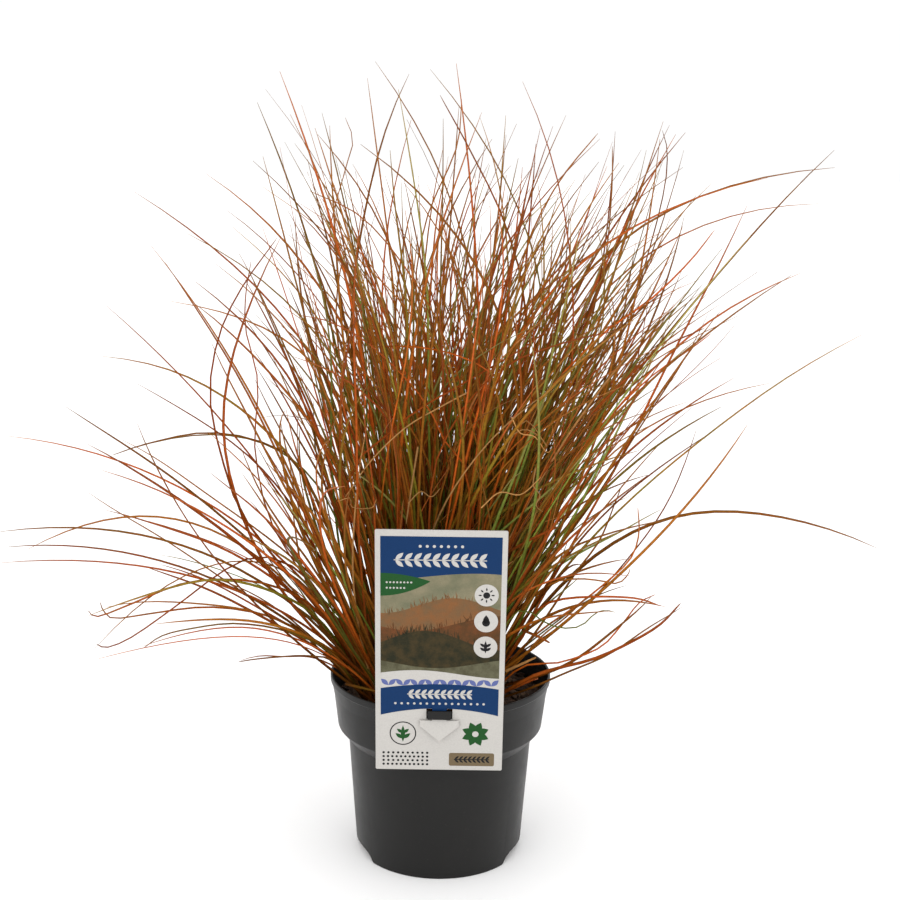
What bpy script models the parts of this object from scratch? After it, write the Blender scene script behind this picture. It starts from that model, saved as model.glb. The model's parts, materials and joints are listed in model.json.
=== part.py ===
"""An orange carex sedge in its round nursery pot, with potting mix and a plant label locked to the rim.

Metres, +Z up. The origin is the centre of the pot's flat underside and the label faces -Y.
Lengths below are millimetres, turned into metres by MM.
"""
import math
import random

import bmesh
import bpy
import numpy as np
from mathutils import Vector

MM = 0.001
GAP = 0.3  # clearance between pieces that rest on each other
TURN = 2 * math.pi
GOLDEN = 0.618034

# Pot: a 140 mm injection-moulded nursery pot with a collar under its rim
RIM_RADIUS, RIM_TOP = 70.0, 117.0
LIP_PROUD, LIP_HEIGHT = 0.8, 4.0
COLLAR_FOOT_RADIUS, COLLAR_FOOT_Z = 65.2, 83.7
BODY_TOP_RADIUS, BODY_TOP_Z = 58.4, 75.5
BASE_RADIUS = 53.0
COLLAR_MID_RADIUS, COLLAR_MID_Z = 67.6, 104.0
WALL = 1.4
EDGE = 0.6  # chamfer of the pot's moulded edges
POT_SIDES = 48

# Underside: a foot ring, a raised channel over the drain notches and a flat disc in the middle
FOOT_WIDTH = 4.0
CHANNEL_Z = 2.5
CENTRE_RADIUS = 22.0
STEP_SLOPE = 1.0  # run of each step in the floor
FLOOR = 1.6
NOTCH_ANGLES = (-160, -20, 20, 160)  # degrees from +X, which leaves the front and the back closed
NOTCH_WIDTH, NOTCH_HEIGHT = 34.0, 6.5
NOTCH_DEPTH, NOTCH_SLANT = 8.0, 4.0
PAST = 4.0  # how far a cutter runs past what it cuts

# Tag lock: a bar that bridges the front of the rim, with a gap behind it for the label's tongue
BAR_WIDTH, BAR_HEIGHT, BAR_THICKNESS = 13.8, 5.3, 1.5
BAR_TOP = 119.0
BAR_OUT = 4.2  # outer face of the bar in front of the rim
POST_WIDTH, POST_SETBACK, POST_ROOT = 1.5, 0.4, 1.2

# Potting mix
SOIL_TOP = 102.0
SOIL_SHOULDER, SOIL_DIP, SOIL_MARGIN = 3.0, 1.5, 0.8
SOIL_SIDES = 40

# Crown of the plant, which sits in a round socket in the potting mix
CROWN_CENTRE = (-10.0, 0.0)
CROWN_RADIUS = 46.0
CROWN_BOTTOM = 84.0
CROWN_EDGE_TOP = 103.5
CROWN_RISE = 4.5
CROWN_SHOULDER = 0.7  # share of the radius where the crown's top starts to fall away
CROWN_SKIN = 1.0  # blades start this far above the crown's surface line
CROWN_SIDES = 24

# Label: one die-cut card whose tongue passes behind the bar and comes out below it
CARD_WIDTH, CARD_HEIGHT, CARD_THICKNESS = 75.5, 155.0, 0.6
CARD_BOTTOM = 79.0
CARD_LEAN = math.radians(7.3)
CARD_CORNER = 1.0
CARD_FOOT_Y = -66.3  # middle of the card's thickness at its bottom edge
WINDOW_WIDTH, WINDOW_MARGIN = 15.4, 0.8
NECK_WIDTH = 8.5
TONGUE_Y = -72.0
TONGUE_ROOT = 2.5  # how far the tongue runs into the card above the window
ARROW_WIDTH, ARROW_HEIGHT, ARROW_SHOULDER = 23.0, 13.0, 3.5
ARROW_DROP = 0.4

# Blades: how many, how wide and thick at the root, and how they thin out
SEED = 7
BLADES = 335
CANDIDATES = 2500
BLADE_STEPS = 20
BLADE_WIDTH, BLADE_THICKNESS, LEAST_THICKNESS = 1.25, 0.7, 0.62
BLADE_TAPER = 0.45
ROOT_RING = 40.0  # blade roots keep to this radius on the crown
ROOT_DEPTH = 7.0
SEAM = 0.002  # corners this close, where blades run into each other, become one

# Bends, in degrees, past which a blade is made of four or of five straight stretches in place of three
BENDS = (18, 42)
STRETCH_EASE = 0.9  # below 1, the stretches get shorter towards the tip

# Room between blades: the side of a cell, and how many stations at the root may touch
BLADE_SPACING = 0.8
ROOT_STATIONS = 8
NEIGHBOURS = [(x, y, z) for x in (-1, 0, 1) for y in (-1, 0, 1) for z in (-1, 0, 1)]

# Leading blades: the angle over which their roots fan out, and how far out they are rooted by their reach
LEADING_FAN = 1.8
LEADING_SPREAD, LEADING_REACH, MOST_SPREAD = 0.35, 260.0, 0.98

# Main fan: leans and droops in degrees, turns in radians, lengths in millimetres
FAN_LEAN, FAN_LEAN_GAIN, FAN_LEAN_NOISE, FAN_EVENNESS = 2, 26, 5, 1.2
FAN_DROOP, FAN_DROOP_NOISE, FAN_DROOP_GAIN = 12, 14, 14
FAN_TURN_NOISE, FAN_TIP_TURN = 0.3, 0.5
FAN_LENGTH, FAN_SHORTENING, FAN_SKEW = 352, 0.42, 1.4
FAN_STEEP, FAN_LEAN_LOSS = 0.42, 0.25
FAN_LOWER, FAN_UPPER = 0.55, 0.47

# Low bunch that leaves over the left of the rim, in the same units
LOW_SHARE = 0.1
LOW_LEAN, LOW_LEAN_NOISE = 49, 6
LOW_DROOP, LOW_LENGTH, LOW_SPREAD = (15, 50), (160, 280), (0.75, 1)
LOW_TURN_NOISE, LOW_TURN_GAIN, LOW_HEADING_NOISE, LOW_TIP_TURN = 0.55, 1.2, 0.15, 0.2
LOW_LOWER, LOW_UPPER = 0.5, 0.52

# What the blades keep clear of: the rim, the potting mix, the label and the ground
RIM_ZONE, OVER_RIM, OVER_MIX = (61, 77), 4.5, 1.5
LABEL_ZONE = (44, -60, 240)  # half width, nearest y and top of the space kept free for the label
LOWEST = 10

# The blades that make the outline: tip, then a point on the way, both in millimetres
LEADING = (
    # upper left
    ((-190, 20, 415), (-100, 15, 340)),
    ((-145, -60, 395), (-90, -45, 355)),
    ((-155, 70, 425), (-105, 55, 385)),
    ((-110, -40, 435), (-80, -35, 405)),
    ((-120, 60, 470), (-85, 45, 375)),
    ((-95, -30, 485), (-65, -20, 390)),
    ((-100, 80, 445), (-55, 60, 380)),
    ((-150, 120, 400), (-95, 90, 355)),
    ((-185, 100, 340), (-95, 70, 310)),
    ((-135, -100, 360), (-105, -80, 330)),
    # top
    ((-70, -70, 450), (-55, -60, 430)),
    ((-50, 40, 485), (-40, 30, 420)),
    ((-40, -50, 490), (-20, -45, 460)),
    ((-25, 90, 490), (-50, 70, 420)),
    ((-45, -110, 445), (0, -95, 405)),
    ((-10, 30, 490), (40, 25, 415)),
    ((5, -40, 490), (15, -30, 410)),
    ((20, 110, 465), (25, 100, 450)),
    ((40, -60, 480), (65, -50, 415)),
    ((75, 70, 465), (45, 55, 395)),
    ((80, -90, 450), (40, -70, 400)),
    ((105, 50, 455), (100, 40, 390)),
    ((120, -50, 460), (115, -45, 440)),
    ((145, 90, 460), (130, 80, 430)),
    ((145, 30, 455), (125, 25, 430)),
    ((115, -80, 450), (110, -65, 385)),
    # upper right
    ((245, 60, 435), (145, 45, 410)),
    ((180, -50, 430), (105, -40, 400)),
    ((250, 110, 410), (170, 90, 395)),
    ((235, 20, 445), (130, 10, 325)),
    ((165, -70, 415), (150, -60, 375)),
    ((235, 90, 365), (160, 65, 325)),
    ((245, -30, 340), (145, -20, 265)),
    ((215, 70, 295), (115, 45, 255)),
    # low right
    ((170, -80, 295), (115, -45, 205)),
    ((170, 80, 260), (125, 50, 180)),
    ((285, 40, 190), (135, 20, 210)),
    ((105, -110, 215), (60, -75, 200)),
    ((135, -40, 175), (65, -20, 160)),
    ((100, -70, 180), (55, -45, 165)),
    ((125, -50, 185), (80, -30, 135)),
    ((140, -70, 185), (90, -45, 140)),
    # left
    ((-190, 60, 380), (-135, 40, 305)),
    ((-155, -70, 380), (-120, -50, 315)),
    ((-210, 20, 345), (-130, 10, 265)),
    ((-235, 110, 300), (-140, 75, 275)),
    ((-175, -60, 310), (-100, -35, 245)),
    ((-240, 30, 280), (-165, 20, 230)),
    ((-90, -80, 395), (-125, -45, 250)),
    # low left
    ((-285, 50, 255), (-145, 25, 215)),
    ((-265, -40, 215), (-145, -25, 200)),
    ((-285, 30, 185), (-155, 15, 175)),
    ((-255, -70, 205), (-150, -40, 190)),
    ((-285, 80, 170), (-165, 45, 200)),
    ((-200, -90, 180), (-115, -55, 190)),
    ((-205, -30, 165), (-120, -15, 160)),
    ((-205, -60, 150), (-115, -40, 200)),
    ((-160, -100, 180), (-85, -55, 160)),
    ((-175, -70, 155), (-100, -40, 155)),
    ((-120, -50, 140), (-80, -30, 135)),
    ((-220, 90, 245), (-130, 50, 200)),
    ((-185, -110, 270), (-130, -75, 235)),
    ((-215, -20, 265), (-160, -15, 230)),
    ((-220, 110, 235), (-115, 75, 245)),
    ((-160, -130, 300), (-150, -100, 255)),
)


def clear_scene():
    for obj in list(bpy.data.objects):
        bpy.data.objects.remove(obj, do_unlink=True)


def collection(name):
    made = bpy.data.collections.new(name)
    bpy.context.scene.collection.children.link(made)
    return made


def material(name, colour, roughness):
    made = bpy.data.materials.new(name)
    made.use_nodes = True
    shader = made.node_tree.nodes["Principled BSDF"]
    shader.inputs["Base Color"].default_value = (*colour, 1)
    shader.inputs["Roughness"].default_value = roughness
    shader.inputs["Metallic"].default_value = 0
    return made


def add_object(name, mesh, into, finish=None):
    obj = bpy.data.objects.new(name, mesh)
    into.objects.link(obj)
    if finish:
        mesh.materials.append(finish)
    return obj


def turned(name, profile, sides, into, finish=None):
    """A solid of revolution about Z. The profile starts and ends on the axis and runs down its outer side."""
    mesh = bpy.data.meshes.new(name)
    points = [(radius * MM, 0, z * MM) for radius, z in profile]
    edges = [(i, i + 1) for i in range(len(points) - 1)]
    mesh.from_pydata(points, edges, [])
    obj = add_object(name, mesh, into, finish)
    screw = obj.modifiers.new("Turn", "SCREW")
    screw.steps = screw.render_steps = sides
    screw.use_merge_vertices = True
    screw.merge_threshold = 0.00001
    screw.use_smooth_shade = True
    return obj


def cut(obj, cutter):
    cutter.hide_render = True
    cutter.display_type = "WIRE"
    boolean = obj.modifiers.new("Cut " + cutter.name, "BOOLEAN")
    boolean.operation = "DIFFERENCE"
    boolean.object = cutter


def fuse(obj, pieces):
    """Joins the objects of a collection to obj, applies it and removes them. obj keeps its place."""
    boolean = obj.modifiers.new("Fuse", "BOOLEAN")
    boolean.operation = "UNION"
    boolean.operand_type = "COLLECTION"
    boolean.collection = pieces
    boolean.solver = "MANIFOLD"
    bpy.context.view_layer.update()
    graph = bpy.context.evaluated_depsgraph_get()
    joined = bpy.data.meshes.new_from_object(obj.evaluated_get(graph), depsgraph=graph)
    obj.modifiers.clear()
    obj.data = joined
    for piece in list(pieces.objects):
        bpy.data.objects.remove(piece, do_unlink=True)
    bpy.data.collections.remove(pieces)


def box(name, size, centre, into):
    mesh = bpy.data.meshes.new(name)
    shape = bmesh.new()
    bmesh.ops.create_cube(shape, size=1)
    bmesh.ops.scale(shape, vec=[side * MM for side in size], verts=shape.verts)
    shape.to_mesh(mesh)
    shape.free()
    obj = add_object(name, mesh, into)
    obj.location = [place * MM for place in centre]
    return obj


def outer_profile():
    """The pot's outside, from the rim's top edge down to the foot."""
    under_lip = RIM_TOP - LIP_HEIGHT
    return (
        (RIM_RADIUS, RIM_TOP - EDGE),
        (RIM_RADIUS, under_lip),
        (RIM_RADIUS - LIP_PROUD, under_lip - EDGE),
        (COLLAR_MID_RADIUS, COLLAR_MID_Z),
        (COLLAR_FOOT_RADIUS, COLLAR_FOOT_Z),
        (BODY_TOP_RADIUS + EDGE, BODY_TOP_Z),
        (BODY_TOP_RADIUS, BODY_TOP_Z - 2 * EDGE),
        (BASE_RADIUS, 2 * EDGE),
        (BASE_RADIUS - EDGE, 0),
    )


def inner_profile(clearance=0.0):
    """The pot's inside, from the floor's middle up to the collar, moved inwards by the clearance."""
    channel_top = CHANNEL_Z + FLOOR
    slope = (BODY_TOP_RADIUS - BASE_RADIUS) / BODY_TOP_Z
    inset = WALL + clearance
    centre = CENTRE_RADIUS - clearance
    return (
        (0, FLOOR + clearance),
        (centre - STEP_SLOPE, FLOOR + clearance),
        (centre + STEP_SLOPE, channel_top + clearance),
        (BASE_RADIUS + slope * channel_top - inset, channel_top + clearance),
        (BODY_TOP_RADIUS - inset, BODY_TOP_Z),
        (COLLAR_FOOT_RADIUS - inset - EDGE, COLLAR_FOOT_Z + STEP_SLOPE),
    )


def build_pot(into, cutters, finish):
    underside = (
        (BASE_RADIUS - FOOT_WIDTH, 0),
        (BASE_RADIUS - FOOT_WIDTH - STEP_SLOPE, CHANNEL_Z),
        (CENTRE_RADIUS + STEP_SLOPE, CHANNEL_Z),
        (CENTRE_RADIUS, 0),
        (0, 0),
    )
    rim = (
        (RIM_RADIUS - WALL, RIM_TOP - EDGE),
        (RIM_RADIUS - WALL + EDGE, RIM_TOP),
        (RIM_RADIUS - EDGE, RIM_TOP),
    )
    profile = inner_profile() + rim + outer_profile() + underside
    pot = turned("pot", profile, POT_SIDES, into, finish)
    for angle in NOTCH_ANGLES:
        cut(pot, notch(angle, cutters))
    lock = collection("tag lock")
    add_tag_lock(lock)
    fuse(pot, lock)
    return pot


def add_tag_lock(into):
    """The bar across the front of the rim and the two posts that carry it."""
    bar_y = -(RIM_RADIUS + BAR_OUT - BAR_THICKNESS / 2)
    bar_z = BAR_TOP - BAR_HEIGHT / 2
    box("bar", (BAR_WIDTH, BAR_THICKNESS, BAR_HEIGHT), (0, bar_y, bar_z), into)
    back = RIM_RADIUS - POST_ROOT
    front = RIM_RADIUS + BAR_OUT - POST_SETBACK
    size = (POST_WIDTH, front - back, BAR_HEIGHT - 2 * POST_SETBACK)
    for side in (-1, 1):
        post_x = side * (BAR_WIDTH - POST_WIDTH - POST_SETBACK) / 2
        box("post", size, (post_x, -(front + back) / 2, bar_z), into)


def notch(angle, cutters):
    """A wedge that opens the foot of the wall and the floor's edge, with a slanted inner face."""
    inner = BASE_RADIUS - NOTCH_DEPTH
    outer = BASE_RADIUS + PAST
    section = ((inner, -PAST), (outer, -PAST), (outer, NOTCH_HEIGHT), (inner + NOTCH_SLANT, NOTCH_HEIGHT))
    shape = bmesh.new()
    base = [shape.verts.new((r * MM, -NOTCH_WIDTH / 2 * MM, z * MM)) for r, z in section]
    face = shape.faces.new(base)
    swept = bmesh.ops.extrude_face_region(shape, geom=[face])["geom"]
    moved = [item for item in swept if isinstance(item, bmesh.types.BMVert)]
    bmesh.ops.translate(shape, vec=(0, NOTCH_WIDTH * MM, 0), verts=moved)
    bmesh.ops.recalc_face_normals(shape, faces=shape.faces)
    mesh = bpy.data.meshes.new("notch")
    shape.to_mesh(mesh)
    shape.free()
    obj = add_object(f"notch_{angle}", mesh, cutters)
    obj.rotation_euler = (0, 0, math.radians(angle))
    return obj


def build_soil(into, cutters, finish):
    """Potting mix that fills the pot, with a round socket for the crown."""
    profile = inner_profile(GAP)
    slope = (RIM_RADIUS - COLLAR_FOOT_RADIUS) / (RIM_TOP - COLLAR_FOOT_Z)
    wall = COLLAR_FOOT_RADIUS + slope * (SOIL_TOP - COLLAR_FOOT_Z) - WALL
    edge = wall - GAP - SOIL_MARGIN
    top = ((0, SOIL_TOP), (edge - SOIL_SHOULDER, SOIL_TOP), (edge, SOIL_TOP - SOIL_DIP))
    soil = turned("soil", top + profile[::-1], SOIL_SIDES, into, finish)
    cut(soil, socket(cutters))
    return soil


def socket(cutters):
    bottom = CROWN_BOTTOM - GAP
    depth = SOIL_TOP + PAST - bottom
    shape = bmesh.new()
    radius = (CROWN_RADIUS + GAP) * MM
    bmesh.ops.create_cone(
        shape, cap_ends=True, segments=CROWN_SIDES, radius1=radius, radius2=radius, depth=depth * MM
    )
    mesh = bpy.data.meshes.new("socket")
    shape.to_mesh(mesh)
    shape.free()
    obj = add_object("socket", mesh, cutters)
    obj.location = (CROWN_CENTRE[0] * MM, CROWN_CENTRE[1] * MM, (bottom + depth / 2) * MM)
    return obj


def crown_height(spread):
    """Top of the crown at a share of its radius."""
    return CROWN_EDGE_TOP + CROWN_RISE * (1 - spread * spread)


def direction(lean, heading):
    across = math.sin(lean)
    return np.array((across * math.cos(heading), across * math.sin(heading), math.cos(lean)))


def bent(root, pull, tip):
    """A smooth blade line from root to tip, as BLADE_STEPS + 1 points."""
    t = np.linspace(0, 1, BLADE_STEPS + 1)[:, None]
    return (1 - t) ** 2 * root + 2 * t * (1 - t) * pull + t * t * tip


def root_at(spread, turn):
    radius = ROOT_RING * spread
    x = CROWN_CENTRE[0] + radius * math.cos(turn)
    y = CROWN_CENTRE[1] + radius * math.sin(turn)
    return np.array((x, y, crown_height(spread)))


def leading_line(rank, tip, via):
    """A blade through two given points, rooted on the side of the crown that it leans to."""
    tip, via = np.array(tip, float), np.array(via, float)
    heading = math.atan2(tip[1] - CROWN_CENTRE[1], tip[0] - CROWN_CENTRE[0])
    reach = math.hypot(tip[0] - CROWN_CENTRE[0], tip[1] - CROWN_CENTRE[1])
    fanned = heading + LEADING_FAN * (GOLDEN * rank % 1 - 0.5)
    root = root_at(min(MOST_SPREAD, LEADING_SPREAD + reach / LEADING_REACH), fanned)
    near, far = np.linalg.norm(via - root), np.linalg.norm(tip - via)
    t = near / (near + far)
    pull = (via - (1 - t) ** 2 * root - t * t * tip) / (2 * t * (1 - t))
    return bent(root, pull, tip)


def fan_line(draw):
    """A blade of the main fan, which leans further the further out it is rooted."""
    spread = math.sqrt(draw.random())
    turn = draw.uniform(0, TURN)
    heading = turn + draw.gauss(0, FAN_TURN_NOISE)
    lean = FAN_LEAN + FAN_LEAN_GAIN * spread**FAN_EVENNESS + draw.gauss(0, FAN_LEAN_NOISE)
    lean = math.radians(max(1, lean))
    droop = abs(draw.gauss(FAN_DROOP, FAN_DROOP_NOISE)) + FAN_DROOP_GAIN * spread * draw.random()
    length = FAN_LENGTH * (1 - FAN_SHORTENING * draw.random() ** FAN_SKEW)
    length *= 1 - FAN_LEAN_LOSS * max(0, lean - FAN_STEEP)
    root = root_at(spread, turn)
    pull = root + FAN_LOWER * length * direction(lean, heading)
    tip_way = direction(lean + math.radians(droop), heading + draw.gauss(0, FAN_TIP_TURN))
    return bent(root, pull, pull + FAN_UPPER * length * tip_way)


def low_line(draw):
    """A blade of the low bunch that leaves over the left of the rim."""
    turn = math.pi + draw.gauss(0, LOW_TURN_NOISE)
    spread = draw.uniform(*LOW_SPREAD)
    heading = math.pi + (turn - math.pi) * LOW_TURN_GAIN + draw.gauss(0, LOW_HEADING_NOISE)
    lean = math.radians(draw.gauss(LOW_LEAN, LOW_LEAN_NOISE))
    droop = math.radians(draw.uniform(*LOW_DROOP))
    length = draw.uniform(*LOW_LENGTH)
    root = root_at(spread, turn)
    pull = root + LOW_LOWER * length * direction(lean, heading)
    tip_way = direction(lean + droop, heading + draw.gauss(0, LOW_TIP_TURN))
    return bent(root, pull, pull + LOW_UPPER * length * tip_way)


def clears_the_rest(line):
    """Whether a blade passes over the rim, above the potting mix and behind or beside the label."""
    x, y, z = line.T
    radius = np.hypot(x, y)
    inside, outside = RIM_ZONE
    half_width, nearest, top = LABEL_ZONE
    over_rim = (radius < inside) | (radius > outside) | (z > RIM_TOP + OVER_RIM)
    above_mix = (z > SOIL_TOP + OVER_MIX) | (radius > inside)
    off_label = (np.abs(x) > half_width) | (y > nearest) | (z > top)
    return bool(over_rim.all() and above_mix.all() and off_label.all() and z.min() > LOWEST)


def sections_of(line):
    """The points where the solid blade has a section, more of them on a blade that bends more."""
    first, last = line[1] - line[0], line[-1] - line[-2]
    cosine = np.dot(first, last) / np.linalg.norm(first) / np.linalg.norm(last)
    bend = math.degrees(math.acos(min(1, max(-1, cosine))))
    stretches = 3 + sum(bend >= limit for limit in BENDS)
    shares = [(i / stretches) ** STRETCH_EASE for i in range(stretches + 1)]
    return line[[round(BLADE_STEPS * share) for share in shares]]


def cells_of(points):
    return [tuple(cell) for cell in np.floor(points / BLADE_SPACING).astype(int)]


class Standing:
    """The room that blades take up, as a set of small cells along them."""

    def __init__(self):
        self.taken = set()

    def stations(self, line):
        """Points a half cell apart along the blade's straight stretches, from just above the crown."""
        knots = sections_of(line)
        out = []
        for near, far in zip(knots, knots[1:]):
            count = int(np.linalg.norm(far - near) / (BLADE_SPACING / 2)) + 1
            out.append(near + (far - near) * np.linspace(0, 1, count)[:, None])
        return np.concatenate(out)[ROOT_STATIONS:]

    def add(self, line):
        for cell in cells_of(self.stations(line)):
            for x, y, z in NEIGHBOURS:
                self.taken.add((cell[0] + x, cell[1] + y, cell[2] + z))

    def clear_of(self, line):
        return not any(cell in self.taken for cell in cells_of(self.stations(line)))


def grow():
    """All blade lines: the leading ones first, then seeded ones wherever there is room."""
    draw = random.Random(SEED)
    standing = Standing()
    lines = [leading_line(rank, *row) for rank, row in enumerate(LEADING)]
    for line in lines:
        standing.add(line)
    for _ in range(CANDIDATES):
        line = low_line(draw) if draw.random() < LOW_SHARE else fan_line(draw)
        if clears_the_rest(line) and standing.clear_of(line):
            lines.append(line)
            standing.add(line)
        if len(lines) == BLADES:
            break
    return lines


def blade_mesh(name, line):
    """A three-sided blade, a keel under a flat top, that ends in a point and is rooted in the crown."""
    along = line[1] - line[0]
    sunk = line[0] - ROOT_DEPTH * along / np.linalg.norm(along)
    centres = [sunk, *sections_of(line)[1:]]
    last = len(centres) - 1
    shape = bmesh.new()
    rings = []
    for i in range(last):
        ahead = centres[i + 1] - centres[max(i - 1, 0)]
        ahead /= np.linalg.norm(ahead)
        side = np.cross(ahead, (0, 0, 1))
        side /= max(np.linalg.norm(side), 0.001)
        taper = 1 - BLADE_TAPER * i / last
        across = BLADE_WIDTH * taper / 2 * side
        keel = max(BLADE_THICKNESS * taper, LEAST_THICKNESS) * np.cross(side, ahead)
        corners = (centres[i] - across, centres[i] + across, centres[i] - keel)
        rings.append([shape.verts.new(Vector(corner) * MM) for corner in corners])
    tip = shape.verts.new(Vector(centres[-1]) * MM)
    shape.faces.new(reversed(rings[0]))
    for i in range(3):
        j = (i + 1) % 3
        shape.faces.new((rings[-1][i], rings[-1][j], tip))
        for near, far in zip(rings, rings[1:]):
            shape.faces.new((near[i], near[j], far[j]))
            shape.faces.new((near[i], far[j], far[i]))
    bmesh.ops.recalc_face_normals(shape, faces=shape.faces)
    mesh = bpy.data.meshes.new(name)
    shape.to_mesh(mesh)
    shape.free()
    return mesh


def build_tuft(into, finish):
    """The crown and every blade as one grown body."""
    top = [(CROWN_RADIUS * share, crown_height(share) - CROWN_SKIN) for share in (0, CROWN_SHOULDER)]
    side = [(CROWN_RADIUS, crown_height(1) - CROWN_SKIN), (CROWN_RADIUS, CROWN_BOTTOM), (0, CROWN_BOTTOM)]
    tuft = turned("sedge_tuft", top + side, CROWN_SIDES, into, finish)
    tuft.location = (CROWN_CENTRE[0] * MM, CROWN_CENTRE[1] * MM, 0)
    blades = collection("blades")
    for i, line in enumerate(grow()):
        add_object(f"blade_{i}", blade_mesh(f"blade_{i}", line), blades)
    fuse(tuft, blades)
    merge_close_corners(tuft.data)
    return tuft


def merge_close_corners(mesh):
    shape = bmesh.new()
    shape.from_mesh(mesh)
    bmesh.ops.triangulate(shape, faces=shape.faces)
    bmesh.ops.remove_doubles(shape, verts=shape.verts, dist=SEAM * MM)
    shape.to_mesh(mesh)
    shape.free()


def rounded_outline(width, height, corner, steps=2):
    """A card's outline above the origin, with a short arc at each corner."""
    points = []
    middle_x, middle_y = width / 2 - corner, height / 2 - corner
    for quarter, (side, end) in enumerate(((1, 1), (-1, 1), (-1, -1), (1, -1))):
        for step in range(steps + 1):
            angle = (quarter + step / steps) * math.pi / 2
            x = side * middle_x + corner * math.cos(angle)
            y = height / 2 + end * middle_y + corner * math.sin(angle)
            points.append((x, y))
    return points


def plate(name, outlines, into):
    """A flat card CARD_THICKNESS thick in the local XY plane; the outlines after the first are holes."""
    curve = bpy.data.curves.new(name, "CURVE")
    curve.dimensions = "2D"
    curve.fill_mode = "BOTH"
    curve.extrude = CARD_THICKNESS / 2 * MM
    for outline in outlines:
        spline = curve.splines.new("POLY")
        spline.points.add(len(outline) - 1)
        for point, (x, y) in zip(spline.points, outline):
            point.co = (x * MM, y * MM, 0, 1)
        spline.use_cyclic_u = True
    flat = bpy.data.objects.new(name, curve)
    into.objects.link(flat)
    bpy.context.view_layer.update()
    graph = bpy.context.evaluated_depsgraph_get()
    mesh = bpy.data.meshes.new_from_object(flat.evaluated_get(graph), depsgraph=graph)
    shape = bmesh.new()
    shape.from_mesh(mesh)
    bmesh.ops.remove_doubles(shape, verts=shape.verts, dist=0.000001)
    bmesh.ops.recalc_face_normals(shape, faces=shape.faces)
    shape.to_mesh(mesh)
    shape.free()
    bpy.data.objects.remove(flat, do_unlink=True)
    return add_object(name, mesh, into)


def build_label(into, finish):
    """The leaning card with its window round the bar, and the tongue that hangs down behind the bar."""
    window_low = BAR_TOP - BAR_HEIGHT - WINDOW_MARGIN
    window_high = BAR_TOP + WINDOW_MARGIN
    up_card = 1 / math.cos(CARD_LEAN)
    outline = rounded_outline(CARD_WIDTH, CARD_HEIGHT, CARD_CORNER)
    low = (window_low - CARD_BOTTOM) * up_card
    high = (window_high - CARD_BOTTOM) * up_card
    half = WINDOW_WIDTH / 2
    window = [(half, high), (-half, high), (-half, low), (half, low)]
    label = plate("label", (outline, window), into)
    label.data.materials.append(finish)
    label.location = (0, CARD_FOOT_Y * MM, CARD_BOTTOM * MM)
    label.rotation_euler = (math.pi / 2 + CARD_LEAN, 0, 0)

    tongues = collection("tongues")
    shoulder = window_low - ARROW_DROP
    arrow, neck = ARROW_WIDTH / 2, NECK_WIDTH / 2
    outline = [
        (neck, window_high + TONGUE_ROOT),
        (-neck, window_high + TONGUE_ROOT),
        (-neck, shoulder),
        (-arrow, shoulder),
        (-arrow, shoulder - ARROW_SHOULDER),
        (0, shoulder - ARROW_HEIGHT),
        (arrow, shoulder - ARROW_SHOULDER),
        (arrow, shoulder),
        (neck, shoulder),
    ]
    tongue = plate("tongue", (outline,), tongues)
    tongue.location = (0, TONGUE_Y * MM, 0)
    tongue.rotation_euler = (math.pi / 2, 0, 0)
    fuse(label, tongues)
    return label


def main():
    clear_scene()
    plant = collection("carex_sedge_in_pot")
    cutters = collection("cutters")
    black = material("pot plastic", (0.035, 0.036, 0.038), 0.45)
    mix = material("potting mix", (0.03, 0.022, 0.016), 0.95)
    leaf = material("sedge blades", (0.30, 0.14, 0.045), 0.55)
    card = material("label card", (0.85, 0.85, 0.83), 0.5)
    build_pot(plant, cutters, black)
    build_soil(plant, cutters, mix)
    build_tuft(plant, leaf)
    build_label(plant, card)


main()
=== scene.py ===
"""The looks of the potted carex sedge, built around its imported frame.

Lengths are in millimetres until a mesh is made. The frame and the scene are in metres.
"""

import json
import math
import random

import bmesh
import bpy
import numpy as np
from mathutils import Matrix, Vector, noise

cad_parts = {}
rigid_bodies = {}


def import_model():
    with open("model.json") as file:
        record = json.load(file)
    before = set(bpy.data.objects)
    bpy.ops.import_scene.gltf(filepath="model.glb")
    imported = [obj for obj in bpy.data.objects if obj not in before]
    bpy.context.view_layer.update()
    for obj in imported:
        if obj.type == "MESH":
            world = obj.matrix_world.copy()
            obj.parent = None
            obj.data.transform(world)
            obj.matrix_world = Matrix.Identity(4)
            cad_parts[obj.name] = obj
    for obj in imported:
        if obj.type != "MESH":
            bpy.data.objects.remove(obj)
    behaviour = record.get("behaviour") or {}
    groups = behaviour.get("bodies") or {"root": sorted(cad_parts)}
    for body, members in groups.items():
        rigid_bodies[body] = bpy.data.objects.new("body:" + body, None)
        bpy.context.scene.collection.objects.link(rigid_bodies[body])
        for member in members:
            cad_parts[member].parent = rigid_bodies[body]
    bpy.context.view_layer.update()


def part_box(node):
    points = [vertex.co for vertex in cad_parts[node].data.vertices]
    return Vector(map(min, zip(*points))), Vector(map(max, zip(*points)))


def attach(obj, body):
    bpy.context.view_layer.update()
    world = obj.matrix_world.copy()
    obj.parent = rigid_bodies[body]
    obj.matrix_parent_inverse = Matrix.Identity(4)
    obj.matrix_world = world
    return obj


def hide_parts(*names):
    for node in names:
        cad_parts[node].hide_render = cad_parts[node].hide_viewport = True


MM = 0.001
TURN = 2 * math.pi
GOLDEN = 0.618034

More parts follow.
